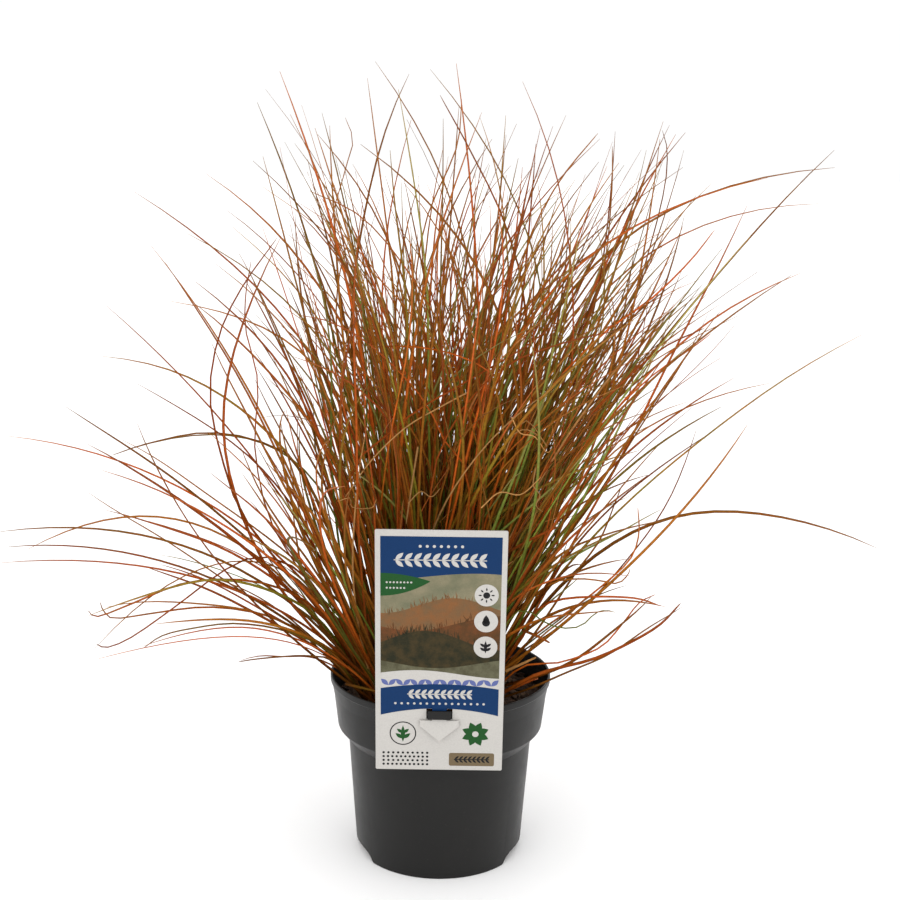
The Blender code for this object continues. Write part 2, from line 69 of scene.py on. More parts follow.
# Sizes shared with the solids
RIM_RADIUS, RIM_TOP = 70.0, 117.0
LIP_PROUD, LIP_HEIGHT = 0.8, 4.0
COLLAR_FOOT_RADIUS, COLLAR_FOOT_Z = 65.2, 83.7
COLLAR_MID_RADIUS, COLLAR_MID_Z = 67.6, 104.0
BODY_TOP_RADIUS, BODY_TOP_Z = 58.4, 75.5
BASE_RADIUS = 53.0
WALL = 1.4
EDGE = 0.6
FOOT_WIDTH = 4.0
CHANNEL_Z = 2.5
CENTRE_RADIUS = 22.0
STEP_SLOPE = 1.0
FLOOR = 1.6
NOTCH_ANGLES = (-160, -20, 20, 160)
NOTCH_WIDTH, NOTCH_HEIGHT = 34.0, 6.5
NOTCH_DEPTH, NOTCH_SLANT = 8.0, 4.0
PAST = 4.0
BAR_WIDTH, BAR_HEIGHT, BAR_THICKNESS = 13.8, 5.3, 1.5
BAR_TOP = 119.0
BAR_OUT = 4.2
POST_WIDTH, POST_SETBACK, POST_ROOT = 1.5, 0.4, 1.2
SOIL_TOP = 102.0
SOIL_DIP, SOIL_MARGIN = 1.5, 0.8
GAP = 0.3
CROWN_CENTRE = (-10.0, 0.0)
CROWN_RADIUS = 46.0
CROWN_BOTTOM = 84.0
CROWN_EDGE_TOP = 103.5
CROWN_RISE = 4.5
CARD_WIDTH, CARD_HEIGHT = 75.5, 155.0
CARD_BOTTOM = 79.0
CARD_LEAN = math.radians(7.3)
CARD_CORNER = 1.0
CARD_FOOT_Y = -66.3
WINDOW_WIDTH, WINDOW_MARGIN = 15.4, 0.8
NECK_WIDTH = 8.5
TONGUE_Y = -72.0
TONGUE_ROOT = 2.5
ARROW_WIDTH, ARROW_HEIGHT, ARROW_SHOULDER = 23.0, 13.0, 3.5
ARROW_DROP = 0.4

# The photograph's viewpoint in metres, and its width and height in pixels
CAMERA_PLACE = (0.0041, -0.874, 0.445)
CAMERA_PITCH = math.radians(11.9)
CAMERA_ROLL = math.radians(0.8)
FOCAL_LENGTH, SENSOR = 57.76, 36.0
PICTURE = 900

# Blades, by the same rule and draws as the solids
SEED = 7
BLADES = 335
CANDIDATES = 2500
BLADE_STEPS = 20
ROOT_RING = 40.0
BENDS = (18, 42)
STRETCH_EASE = 0.9
BLADE_SPACING = 0.8
ROOT_STATIONS = 8
NEIGHBOURS = [(x, y, z) for x in (-1, 0, 1) for y in (-1, 0, 1) for z in (-1, 0, 1)]
LEADING_FAN = 1.8
LEADING_SPREAD, LEADING_REACH, MOST_SPREAD = 0.35, 260.0, 0.98
FAN_LEAN, FAN_LEAN_GAIN, FAN_LEAN_NOISE, FAN_EVENNESS = 2, 26, 5, 1.2
FAN_DROOP, FAN_DROOP_NOISE, FAN_DROOP_GAIN = 12, 14, 14
FAN_TURN_NOISE, FAN_TIP_TURN = 0.3, 0.5
FAN_LENGTH, FAN_SHORTENING, FAN_SKEW = 352, 0.42, 1.4
FAN_STEEP, FAN_LEAN_LOSS = 0.42, 0.25
FAN_LOWER, FAN_UPPER = 0.55, 0.47
LOW_SHARE = 0.1
LOW_LEAN, LOW_LEAN_NOISE = 49, 6
LOW_DROOP, LOW_LENGTH, LOW_SPREAD = (15, 50), (160, 280), (0.75, 1)
LOW_TURN_NOISE, LOW_TURN_GAIN, LOW_HEADING_NOISE, LOW_TIP_TURN = 0.55, 1.2, 0.15, 0.2
LOW_LOWER, LOW_UPPER = 0.5, 0.52
RIM_ZONE, OVER_RIM, OVER_MIX = (61, 77), 4.5, 1.5
LABEL_ZONE = (44, -60, 240)
LOWEST = 10

# The blades that make the outline: tip, then a point on the way
LEADING = (
    # upper left
    ((-190, 20, 415), (-100, 15, 340)), ((-145, -60, 395), (-90, -45, 355)),
    ((-155, 70, 425), (-105, 55, 385)), ((-110, -40, 435), (-80, -35, 405)),
    ((-120, 60, 470), (-85, 45, 375)), ((-95, -30, 485), (-65, -20, 390)),
    ((-100, 80, 445), (-55, 60, 380)), ((-150, 120, 400), (-95, 90, 355)),
    ((-185, 100, 340), (-95, 70, 310)), ((-135, -100, 360), (-105, -80, 330)),
    # top
    ((-70, -70, 450), (-55, -60, 430)), ((-50, 40, 485), (-40, 30, 420)),
    ((-40, -50, 490), (-20, -45, 460)), ((-25, 90, 490), (-50, 70, 420)),
    ((-45, -110, 445), (0, -95, 405)), ((-10, 30, 490), (40, 25, 415)),
    ((5, -40, 490), (15, -30, 410)), ((20, 110, 465), (25, 100, 450)),
    ((40, -60, 480), (65, -50, 415)), ((75, 70, 465), (45, 55, 395)),
    ((80, -90, 450), (40, -70, 400)), ((105, 50, 455), (100, 40, 390)),
    ((120, -50, 460), (115, -45, 440)), ((145, 90, 460), (130, 80, 430)),
    ((145, 30, 455), (125, 25, 430)), ((115, -80, 450), (110, -65, 385)),
    # upper right
    ((245, 60, 435), (145, 45, 410)), ((180, -50, 430), (105, -40, 400)),
    ((250, 110, 410), (170, 90, 395)), ((235, 20, 445), (130, 10, 325)),
    ((165, -70, 415), (150, -60, 375)), ((235, 90, 365), (160, 65, 325)),
    ((245, -30, 340), (145, -20, 265)), ((215, 70, 295), (115, 45, 255)),
    # low right
    ((170, -80, 295), (115, -45, 205)), ((170, 80, 260), (125, 50, 180)),
    ((285, 40, 190), (135, 20, 210)), ((105, -110, 215), (60, -75, 200)),
    ((135, -40, 175), (65, -20, 160)), ((100, -70, 180), (55, -45, 165)),
    ((125, -50, 185), (80, -30, 135)), ((140, -70, 185), (90, -45, 140)),
    # left
    ((-190, 60, 380), (-135, 40, 305)), ((-155, -70, 380), (-120, -50, 315)),
    ((-210, 20, 345), (-130, 10, 265)), ((-235, 110, 300), (-140, 75, 275)),
    ((-175, -60, 310), (-100, -35, 245)), ((-240, 30, 280), (-165, 20, 230)),
    ((-90, -80, 395), (-125, -45, 250)),
    # low left
    ((-285, 50, 255), (-145, 25, 215)), ((-265, -40, 215), (-145, -25, 200)),
    ((-285, 30, 185), (-155, 15, 175)), ((-255, -70, 205), (-150, -40, 190)),
    ((-285, 80, 170), (-165, 45, 200)), ((-200, -90, 180), (-115, -55, 190)),
    ((-205, -30, 165), (-120, -15, 160)), ((-205, -60, 150), (-115, -40, 200)),
    ((-160, -100, 180), (-85, -55, 160)), ((-175, -70, 155), (-100, -40, 155)),
    ((-120, -50, 140), (-80, -30, 135)), ((-220, 90, 245), (-130, 50, 200)),
    ((-185, -110, 270), (-130, -75, 235)), ((-215, -20, 265), (-160, -15, 230)),
    ((-220, 110, 235), (-115, 75, 245)), ((-160, -130, 300), (-150, -100, 255)),
)


def crown_height(spread):
    """Top of the crown at a share of its radius."""
    return CROWN_EDGE_TOP + CROWN_RISE * (1 - spread * spread)


def direction(lean, heading):
    across = math.sin(lean)
    return np.array((across * math.cos(heading), across * math.sin(heading), math.cos(lean)))


def bent(root, pull, tip):
    """A smooth blade line from root to tip, as BLADE_STEPS + 1 points."""
    t = np.linspace(0, 1, BLADE_STEPS + 1)[:, None]
    return (1 - t) ** 2 * root + 2 * t * (1 - t) * pull + t * t * tip


def arched(root, lower, upper, lean, droop, heading, tip_heading):
    """A blade whose lower part has one lean and heading, and whose upper part bends over to another."""
    pull = root + lower * direction(lean, heading)
    return bent(root, pull, pull + upper * direction(lean + droop, tip_heading))


def root_at(spread, turn):
    radius = ROOT_RING * spread
    x = CROWN_CENTRE[0] + radius * math.cos(turn)
    y = CROWN_CENTRE[1] + radius * math.sin(turn)
    return np.array((x, y, crown_height(spread)))


def leading_line(rank, tip, via):
    """A blade through two given points, rooted on the side of the crown that it leans to."""
    tip, via = np.array(tip, float), np.array(via, float)
    heading = math.atan2(tip[1] - CROWN_CENTRE[1], tip[0] - CROWN_CENTRE[0])
    reach = math.hypot(tip[0] - CROWN_CENTRE[0], tip[1] - CROWN_CENTRE[1])
    fanned = heading + LEADING_FAN * (GOLDEN * rank % 1 - 0.5)
    root = root_at(min(MOST_SPREAD, LEADING_SPREAD + reach / LEADING_REACH), fanned)
    near, far = np.linalg.norm(via - root), np.linalg.norm(tip - via)
    t = near / (near + far)
    pull = (via - (1 - t) ** 2 * root - t * t * tip) / (2 * t * (1 - t))
    return bent(root, pull, tip)


def fan_line(draw):
    """A blade of the main fan, which leans further the further out it is rooted."""
    spread = math.sqrt(draw.random())
    turn = draw.uniform(0, TURN)
    heading = turn + draw.gauss(0, FAN_TURN_NOISE)
    lean = FAN_LEAN + FAN_LEAN_GAIN * spread**FAN_EVENNESS + draw.gauss(0, FAN_LEAN_NOISE)
    lean = math.radians(max(1, lean))
    droop = abs(draw.gauss(FAN_DROOP, FAN_DROOP_NOISE)) + FAN_DROOP_GAIN * spread * draw.random()
    length = FAN_LENGTH * (1 - FAN_SHORTENING * draw.random() ** FAN_SKEW)
    length *= 1 - FAN_LEAN_LOSS * max(0, lean - FAN_STEEP)
    tip_heading = heading + draw.gauss(0, FAN_TIP_TURN)
    root, lower, upper = root_at(spread, turn), FAN_LOWER * length, FAN_UPPER * length
    return arched(root, lower, upper, lean, math.radians(droop), heading, tip_heading)


def low_line(draw):
    """A blade of the low bunch that leaves over the left of the rim."""
    turn = math.pi + draw.gauss(0, LOW_TURN_NOISE)
    spread = draw.uniform(*LOW_SPREAD)
    heading = math.pi + (turn - math.pi) * LOW_TURN_GAIN + draw.gauss(0, LOW_HEADING_NOISE)
    lean = math.radians(draw.gauss(LOW_LEAN, LOW_LEAN_NOISE))
    droop = math.radians(draw.uniform(*LOW_DROOP))
    length = draw.uniform(*LOW_LENGTH)
    tip_heading = heading + draw.gauss(0, LOW_TIP_TURN)
    root, lower, upper = root_at(spread, turn), LOW_LOWER * length, LOW_UPPER * length
    return arched(root, lower, upper, lean, droop, heading, tip_heading)


def clears_the_rest(line):
    """Whether a blade passes over the rim, above the potting mix and behind or beside the label."""
    x, y, z = line.T
    radius = np.hypot(x, y)
    inside, outside = RIM_ZONE
    half_width, nearest, top = LABEL_ZONE
    over_rim = (radius < inside) | (radius > outside) | (z > RIM_TOP + OVER_RIM)
    above_mix = (z > SOIL_TOP + OVER_MIX) | (radius > inside)
    off_label = (np.abs(x) > half_width) | (y > nearest) | (z > top)
    return bool(over_rim.all() and above_mix.all() and off_label.all() and z.min() > LOWEST)


def sections_of(line):
    """The points where the solid blade has a section, more of them on a blade that bends more."""
    first, last = line[1] - line[0], line[-1] - line[-2]
    cosine = np.dot(first, last) / np.linalg.norm(first) / np.linalg.norm(last)
    bend = math.degrees(math.acos(min(1, max(-1, cosine))))
    stretches = 3 + sum(bend >= limit for limit in BENDS)
    shares = [(i / stretches) ** STRETCH_EASE for i in range(stretches + 1)]
    return line[[round(BLADE_STEPS * share) for share in shares]]


def cells_of(points):
    return [tuple(cell) for cell in np.floor(points / BLADE_SPACING).astype(int)]


class Standing:
    """The room that the solids' blades take up, as a set of small cells along them."""

    def __init__(self):
        self.taken = set()

    def stations(self, line):
        """Points a half cell apart along the blade's straight stretches, from just above the crown."""
        knots = sections_of(line)
        out = []
        for near, far in zip(knots, knots[1:]):
            count = int(np.linalg.norm(far - near) / (BLADE_SPACING / 2)) + 1
            out.append(near + (far - near) * np.linspace(0, 1, count)[:, None])
        return np.concatenate(out)[ROOT_STATIONS:]

    def add(self, line):
        for cell in cells_of(self.stations(line)):
            for x, y, z in NEIGHBOURS:
                self.taken.add((cell[0] + x, cell[1] + y, cell[2] + z))

    def clear_of(self, line):
        return not any(cell in self.taken for cell in cells_of(self.stations(line)))


def grow():
    """The solids' blade lines: the leading ones first, then seeded ones wherever there is room."""
    draw = random.Random(SEED)
    standing = Standing()
    lines = [leading_line(rank, *row) for rank, row in enumerate(LEADING)]
    for line in lines:
        standing.add(line)
    for _ in range(CANDIDATES):
        line = low_line(draw) if draw.random() < LOW_SHARE else fan_line(draw)
        if clears_the_rest(line) and standing.clear_of(line):
            lines.append(line)
            standing.add(line)
        if len(lines) == BLADES:
            break
    return lines


# The finer blades that only the scene has
FINE_SEED = 23
FINE_BLADES = 540
HAIR_SHARE, HAIR_WIDTH, HAIR_HUE = 0.28, (0.55, 0.95), (0.3, 0.93)
FINE_LOW_SHARE = 0.03
INNER_LEAN, INNER_LEAN_GAIN, INNER_LEAN_NOISE, INNER_TURN_NOISE = 1, 22, 6, 0.8
INNER_LENGTH, INNER_SKEW = (120, 372), 0.8
INNER_DROOP, INNER_DROOP_NOISE, INNER_DROOP_GAIN = 12, 18, 12
INNER_LOWER, INNER_UPPER, INNER_TIP_TURN = 0.52, 0.48, 1.1
CROSSING_SHARE, CROSSING_LEAN, CROSSING_LEAN_GAIN = 0.2, 4, 16
RIGHT_SHARE, RIGHT_LEAN, RIGHT_TURN_NOISE = 0.5, (12, 36), 0.6

# Where the clump is dense, which sides are brown or green, and how tips turn aside
DENSE_LEFT, DENSE_RIGHT, DENSE_HEIGHTS = -94, (76, 152), (200, 350)
DENSE_FROM, DENSE_MARGIN = 185, (-10, 32)
DROOP_LIMIT, PAST_RIM = 136, 84
SHORTEST = 0.4
BROWN_SIDE, BROWN_HUES = -100, (0.27, 0.93)
GREEN_SIDE, GREEN_HUES = 60, (0.0, 0.68)
HOOK_SHARE, HOOK_TURN, HOOK_START = 0.9, (0.1, 0.85), (0.2, 0.7)
HOOK_TRIES, HOOK_MARGIN, HOOK_LEAN = 5, 8, (60, 120)
KNOT_STEPS, TIP_EASE = 12, 1.6
HAIR_TURN, HAIR_START = (0.3, 1.1), (0.2, 0.55)


def inner_line(draw):
    """A finer blade of the main fan. Some lean across the clump, and others to its right."""
    spread = math.sqrt(draw.random())
    turn = draw.uniform(0, TURN)
    heading = turn + draw.gauss(0, INNER_TURN_NOISE)
    lean = INNER_LEAN + INNER_LEAN_GAIN * spread + draw.gauss(0, INNER_LEAN_NOISE)
    if draw.random() < CROSSING_SHARE:
        heading += math.pi
        lean = CROSSING_LEAN + CROSSING_LEAN_GAIN * draw.random()
    elif draw.random() < RIGHT_SHARE:
        heading = draw.gauss(0, RIGHT_TURN_NOISE)
        lean = draw.uniform(*RIGHT_LEAN)
    lean = math.radians(max(1, lean))
    short, long = INNER_LENGTH
    length = short + (long - short) * draw.random() ** INNER_SKEW
    droop = abs(draw.gauss(INNER_DROOP, INNER_DROOP_NOISE)) + INNER_DROOP_GAIN * spread * draw.random()
    tip_heading = heading + draw.gauss(0, INNER_TIP_TURN)
    root, lower, upper = root_at(spread, turn), INNER_LOWER * length, INNER_UPPER * length
    return arched(root, lower, upper, lean, math.radians(droop), heading, tip_heading)


def hooked(line, draw, turns, starts):
    """The same line with its last stretch turned aside, by an angle at its tip."""
    t = np.linspace(0, 1, BLADE_STEPS + 1)[:, None]
    heading, turned, start = draw.uniform(0, TURN), draw.uniform(*turns), draw.uniform(*starts)
    reach = turned * (1 - start) * np.linalg.norm(line[-1] - line[0]) / 2
    turned_part = np.clip((t - start) / (1 - start), 0, 1) ** 2
    lean = math.radians(draw.uniform(*HOOK_LEAN))
    return line + turned_part * reach * direction(lean, heading)


def inside_box(line, low, high):
    return bool((line > low).all() and (line < high).all())


def dense_share(line, margin):
    """The share of the line that stays where the clump is dense, 1 if all of it does."""
    x, y, z = line.T
    right = np.interp(z, DENSE_HEIGHTS, DENSE_RIGHT) + margin
    outside = (z > DENSE_FROM) & ((x < DENSE_LEFT - margin) | (x > right))
    outside |= (z < DROOP_LIMIT) & (np.hypot(x, y) > PAST_RIM)
    return np.argmax(outside) / BLADE_STEPS if outside.any() else 1


def trimmed(line, share):
    """The line's first part, with as many points as the whole."""
    t = np.linspace(0, 1, BLADE_STEPS + 1)
    return np.stack([np.interp(share * t, t, column) for column in line.T], axis=1)


def smooth_path(points):
    """A smooth line through the points, as BLADE_STEPS + 1 points that draw closer to its tip."""
    knots = np.array(points, float)
    padded = np.vstack((2 * knots[0] - knots[1], knots, 2 * knots[-1] - knots[-2]))
    t = np.linspace(0, 1, KNOT_STEPS, endpoint=False)[:, None]
    parts = []
    for a, b, c, d in zip(padded, padded[1:], padded[2:], padded[3:]):
        cubic = 3 * (b - c) + d - a
        parts.append(b + t * (c - a) / 2 + t**2 * (2 * a - 5 * b + 4 * c - d) / 2 + t**3 * cubic / 2)
    curve = np.vstack(parts + [knots[-1:]])
    walked = np.append(0, np.cumsum(np.linalg.norm(np.diff(curve, axis=0), axis=1)))
    places = walked[-1] * (1 - (1 - np.linspace(0, 1, BLADE_STEPS + 1)) ** TIP_EASE)
    return np.stack([np.interp(places, walked, column) for column in curve.T], axis=1)


# Blades with their own course: hue, width, root, first and last depth, and points in the photograph's pixels
SINGLE = (
    # left
    (0.86, 1.5, (-38, -12, 103), (-30, -70), (318, 610), (273, 555), (243, 515), (225, 470), (210, 400),
     (218, 340), (240, 290), (277, 238)),
    (0.8, 0.8, (-40, -5, 103), (-20, -60), (320, 600), (275, 530), (260, 480), (254, 440), (257, 400),
     (256, 370), (246, 330), (245, 295), (251, 262)),
    (0.5, 1.1, (-40, 0, 103), (-10, -30), (330, 560), (300, 470), (262, 442), (205, 433), (150, 443),
     (112, 455)),
    (0.7, 1.2, (-45, -18, 102), (-30, -60), (318, 648), (285, 622), (245, 611), (200, 607), (150, 614),
     (115, 618), (103, 611), (100, 602)),
    (0.85, 1.5, (-42, -12, 103), (-20, -80), (330, 610), (300, 572), (262, 556), (225, 569), (175, 606),
     (132, 637), (107, 648), (97, 644)),
    (0.75, 1.4, (-44, -10, 102), (-20, -70), (330, 625), (300, 597), (262, 583), (222, 580), (180, 585),
     (132, 603), (98, 616), (87, 611)),
    (0.6, 1.2, (-46, -20, 102), (-40, -60), (335, 663), (308, 656), (280, 656), (255, 659), (238, 662)),
    (0.35, 1.5, (-46, -16, 102), (-35, -60), (330, 652), (285, 630), (235, 623), (190, 628), (162, 636),
     (143, 647)),
    # right
    (0.55, 1.1, (22, -18, 103), (-30, -50), (522, 625), (536, 596), (556, 581), (583, 578), (606, 582),
     (618, 583), (628, 576), (631, 569)),
    (0.9, 1.5, (22, -20, 103), (-30, -50), (520, 640), (538, 610), (560, 600), (592, 597), (622, 598),
     (642, 600), (660, 606)),
    (0.88, 1.0, (24, -26, 102), (-50, -40), (520, 668), (560, 662), (600, 648), (622, 625), (638, 603),
     (655, 594)),
    (0.8, 2.1, (22, -30, 102), (-60, -50), (525, 680), (552, 670), (592, 659), (630, 643), (660, 625),
     (681, 603)),
    (0.1, 1.2, (18, -26, 103), (-50, -60), (507, 622), (528, 612), (545, 622), (562, 628), (580, 625),
     (595, 614), (605, 610), (615, 613)),
    (0.75, 1.2, (24, -14, 103), (-30, -20), (530, 640), (580, 603), (615, 575), (632, 556), (638, 533),
     (637, 508)),
    (0.6, 1.4, (24, -14, 103), (-30, -20), (530, 640), (575, 575), (600, 540), (615, 503), (623, 484)),
    (0.6, 1.1, (20, 5, 104), (20, 40), (540, 420), (580, 340), (603, 270), (611, 195), (612, 147)),
    (0.7, 1.2, (22, 0, 104), (10, 30), (560, 420), (600, 350), (632, 300), (652, 240), (664, 185),
     (667, 150), (663, 130)),
    (0.65, 1.1, (14, -8, 104), (-20, -40), (500, 400), (515, 300), (530, 235), (560, 180), (598, 133)),
    (0.9, 1.5, (14, -24, 104), (-40, -50), (525, 560), (560, 480), (600, 425), (650, 378), (690, 350),
     (712, 333)),
    (0.93, 1.4, (10, -30, 104), (-60, -60), (520, 520), (560, 450), (610, 395), (660, 350), (705, 328)),
    (0.88, 1.3, (0, -28, 105), (-50, -60), (500, 470), (540, 400), (600, 335), (650, 300), (690, 262),
     (715, 230)),
    # in front of the rest
    (0.85, 1.4, (-30, -30, 104), (-60, -80), (345, 500), (400, 425), (460, 385), (520, 350), (560, 320)),
    (0.82, 1.3, (0, -35, 105), (-60, -85), (470, 500), (445, 440), (420, 395), (370, 345), (330, 322),
     (300, 316)),
    (0.7, 1.2, (10, -35, 105), (-70, -80), (480, 500), (470, 420), (440, 330), (400, 260), (360, 215),
     (310, 190)),
    (0.9, 1.2, (-5, -38, 105), (-70, -90), (430, 510), (450, 430), (500, 370), (560, 345), (620, 330)),
    # top
    (0.08, 1.3, (-10, 30, 104), (60, 80), (400, 430), (370, 330), (345, 265), (318, 200)),
    (0.75, 1.4, (8, -20, 105), (-30, -60), (520, 400), (525, 300), (505, 220), (470, 150), (440, 95)),
    (0.6, 1.3, (-12, -10, 105), (-10, -20), (430, 400), (415, 300), (425, 220), (455, 150), (462, 100)),
    (0.7, 1.0, (-30, 0, 104), (10, -20), (380, 400), (345, 310), (330, 240), (345, 170), (352, 140),
     (345, 118)),
)

# Dry threads caught on the others, in the same form without a root
THREADS = (
    (0.98, 0.6, (-85, -85), (505, 452), (512, 434), (528, 420), (548, 450), (540, 437), (524, 430),
     (506, 440)),
    (0.98, 0.5, (-86, -84), (512, 418), (520, 433), (534, 436), (546, 452), (552, 449)),
    (0.98, 0.5, (-90, -90), (408, 503), (420, 491), (431, 496), (440, 488)),
    (0.98, 0.6, (-90, -90), (482, 507), (500, 492), (520, 494), (541, 478)),
    (0.98, 0.65, (-88, -86), (536, 468), (534, 484), (541, 496), (536, 505), (543, 512)),
    (0.98, 0.5, (-80, -82), (338, 502), (350, 498), (352, 507), (372, 508), (376, 500)),
)

# The two parts of a dead strand: hue, width and points in millimetres
STRANDS = (
    (0.86, 0.8, ((-35, -82, 336), (-16, -82, 336), (2, -81, 333), (18, -80, 327), (30, -80, 319))),
    (0.97, 0.65, ((14, -80, 311), (-2, -80, 302), (-21, -79, 290), (-40, -79, 271), (-55, -78, 249))),
)

# A straight dead leaf and the stubs of cut blades, in the same form as the threads
STUBS = (
    (0.97, 1.2, (-88, -90), (418, 446), (412, 482), (406, 524)),
    (0.97, 1.7, (-38, -42), (505, 672), (536, 657)),
    (0.8, 2.0, (-45, -52), (500, 693), (538, 679)),
    (0.78, 1.6, (-60, -66), (507, 553), (530, 540), (557, 528)),
    (0.75, 1.6, (-50, -56), (522, 629), (537, 636), (550, 643)),
    (0.4, 1.5, (-52, -50), (345, 684), (378, 692)),
)


def seen_at(across, down, y):
    """What a pixel of the photograph shows at the depth y, to the nearest millimetre."""
    focal = PICTURE * FOCAL_LENGTH / SENSOR
    cos, sin = math.cos(CAMERA_ROLL), math.sin(CAMERA_ROLL)
    u, v = across - PICTURE / 2, down - PICTURE / 2
    u, v = u * cos + v * sin, v * cos - u * sin
    eye_x, eye_y, eye_z = (value / MM for value in CAMERA_PLACE)
    drop = (y - eye_y) * math.tan(CAMERA_PITCH + math.atan(v / focal))
    depth = (y - eye_y) * math.cos(CAMERA_PITCH) + drop * math.sin(CAMERA_PITCH)
    return np.round((eye_x + u * depth / focal, y, eye_z - drop))


def own_line(depths, pixels, root=None):
    """A line through what the pixels show, from its root if that is given. Its depth changes evenly."""
    start, end = depths
    points = [root] if root else []
    for i, (across, down) in enumerate(pixels):
        points.append(seen_at(across, down, start + (end - start) * i / (len(pixels) - 1)))
    return smooth_path(points)


# How a blade is dressed: green, bronze and orange blades have different hues
WIDTHS, LEADING_WIDTHS = (1.25, 2.15), (1.5, 2.35)
FACING, TWIST = 0.7, 0.8
WAVE, WAVE_SIZES, WAVE_CYCLES = 1.5, (0.3, 1), (0.7, 2.6)
WAVE_GAIN, WAVE_EASE = 1.2, 0.4
SIDE_GUIDE = (0.3, -1, 0.1)
SECTION_FOLD = 0.32
MID_THICKNESS, THICKNESS_SHARE = 0.3, 0.3
TIP_WIDTH, NARROWING, TIP_ROUNDNESS = 0.22, 0.42, 0.8
TAPER, BLUNT, STUB_WIDTH = 8, 40, 1.2


class Blade:
    """A line with its width, its waves and twist, and what its colour follows."""

    def __init__(self, line, draw, hue=None, width=None, wave=WAVE, taper=TAPER):
        self.line = line
        self.taper = taper
        self.facing = draw.uniform(-FACING, FACING)
        self.twist = draw.gauss(0, TWIST)
        self.waves = []
        for _ in range(2):
            size = draw.uniform(*WAVE_SIZES) * wave
            self.waves.append((size, draw.uniform(*WAVE_CYCLES), draw.uniform(0, TURN)))
        self.hue = draw.random() if hue is None else hue
        self.width = draw.uniform(*WIDTHS) if width is None else width
        self.tone = draw.random()

    def centre(self):
        """The line with its waves, which start from nothing at the root, and the way across it."""
        t = np.linspace(0, 1, BLADE_STEPS + 1)[:, None]
        chord = self.line[-1] - self.line[0]
        side = np.cross(chord, SIDE_GUIDE)
        side /= np.linalg.norm(side)
        across = np.cross(chord / np.linalg.norm(chord), side)
        line = self.line
        for way, (size, cycles, phase) in zip((side, across), self.waves):
            line = line + size * t * (WAVE_GAIN - WAVE_EASE * t) * np.sin(TURN * cycles * t + phase) * way
        return line, side

    def rings(self):
        """Four points at each station: one edge, the keel, the other edge and the groove."""
        t = np.linspace(0, 1, BLADE_STEPS + 1)[:, None]
        centre, side = self.centre()
        ahead = np.gradient(centre, axis=0)
        ahead /= np.linalg.norm(ahead, axis=1)[:, None]
        flat = []
        for way in ahead:
            side = side - (side @ way) * way
            side = side / np.linalg.norm(side)
            flat.append(side)
        flat = np.array(flat)
        up = np.cross(flat, ahead)
        angle = self.facing + self.twist * t
        flat, up = np.cos(angle) * flat + np.sin(angle) * up, np.cos(angle) * up - np.sin(angle) * flat
        width = self.width * (1 - NARROWING * t) * (1 - t**self.taper) ** TIP_ROUNDNESS + TIP_WIDTH
        half, raised = width / 2, SECTION_FOLD * width
        thick = np.minimum(MID_THICKNESS, THICKNESS_SHARE * width)
        edge, other = centre - half * flat + raised * up, centre + half * flat + raised * up
        return np.stack((edge, centre - thick * up, other, centre + thick * up), axis=1)


def blade_faces():
    """The faces of one blade, and each face's corners on its strip of the bake's map."""
    faces, corners = [], []
    for i in range(BLADE_STEPS):
        for j in range(4):
            k = (j + 1) % 4
            faces.append((4 * i + j, 4 * i + k, 4 * i + 4 + k, 4 * i + 4 + j))
            low, high = i / BLADE_STEPS, (i + 1) / BLADE_STEPS
            corners.append(((j / 4, low), ((j + 1) / 4, low), ((j + 1) / 4, high), (j / 4, high)))
    last = 4 * BLADE_STEPS
    faces += [(3, 2, 1, 0), (last, last + 1, last + 2, last + 3)]
    for share in (0, 1):
        corners.append(((0, share), (0.25, share), (0.5, share), (0.75, share)))
    return np.array(faces), np.array(corners)


# The strips of the bake's map, one for each blade of a piece
STRIP_COLUMNS, STRIP_ROWS = 22, 21
STRIP_FILL = 0.92
PIECE_BLADES = STRIP_COLUMNS * STRIP_ROWS


def blades_piece(name, blades, finish):
    """One mesh of many blades. Each blade has its own strip of the bake's map."""
    faces, corners = blade_faces()
    rings = np.stack([blade.rings() for blade in blades])
    count, stations = rings.shape[:2]
    starts = np.arange(count)[:, None, None] * stations * 4
    mesh = bpy.data.meshes.new(name)
    quads = (faces[None] + starts).reshape(-1, 4)
    mesh.from_pydata((rings.reshape(-1, 3) * MM).tolist(), [], quads.tolist())
    along = np.broadcast_to(np.linspace(0, 1, stations)[None, :, None], (count, stations, 4))
    add_values(mesh, "along", along)
    add_values(mesh, "edge", np.broadcast_to(np.array((1, 0, 1, 0)), (count, stations, 4)))
    for word in ("hue", "tone"):
        values = np.array([getattr(blade, word) for blade in blades])
        add_values(mesh, word, np.broadcast_to(values[:, None, None], (count, stations, 4)))
    places = np.array([(i % STRIP_COLUMNS, i // STRIP_COLUMNS) for i in range(count)])
    spots = places[:, None, None, :] + (1 - STRIP_FILL) / 2 + STRIP_FILL * corners[None]
    layer = mesh.uv_layers.new(name="OFBake")
    layer.data.foreach_set("uv", (spots / (STRIP_COLUMNS, STRIP_ROWS)).astype(np.float32).ravel())
    return finished(name, mesh, finish)


def add_values(mesh, name, values):
    attribute = mesh.attributes.new(name, "FLOAT", "POINT")
    attribute.data.foreach_set("value", np.ascontiguousarray(values, np.float32).ravel())


SHARP = math.radians(32)


def finished(name, mesh, *finishes):
    """An object of the mesh in the scene, shaded smooth but for its sharp edges."""
    for finish in finishes:
        mesh.materials.append(finish)
    mesh.update()
    mesh.shade_smooth()
    mesh.set_sharp_from_angle(angle=SHARP)
    obj = bpy.data.objects.new(name, mesh)
    bpy.context.scene.collection.objects.link(obj)
    return obj


def on_frame(obj, slot, *nodes):
    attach(obj, "root")
    if nodes:
        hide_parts(*nodes)
    return obj


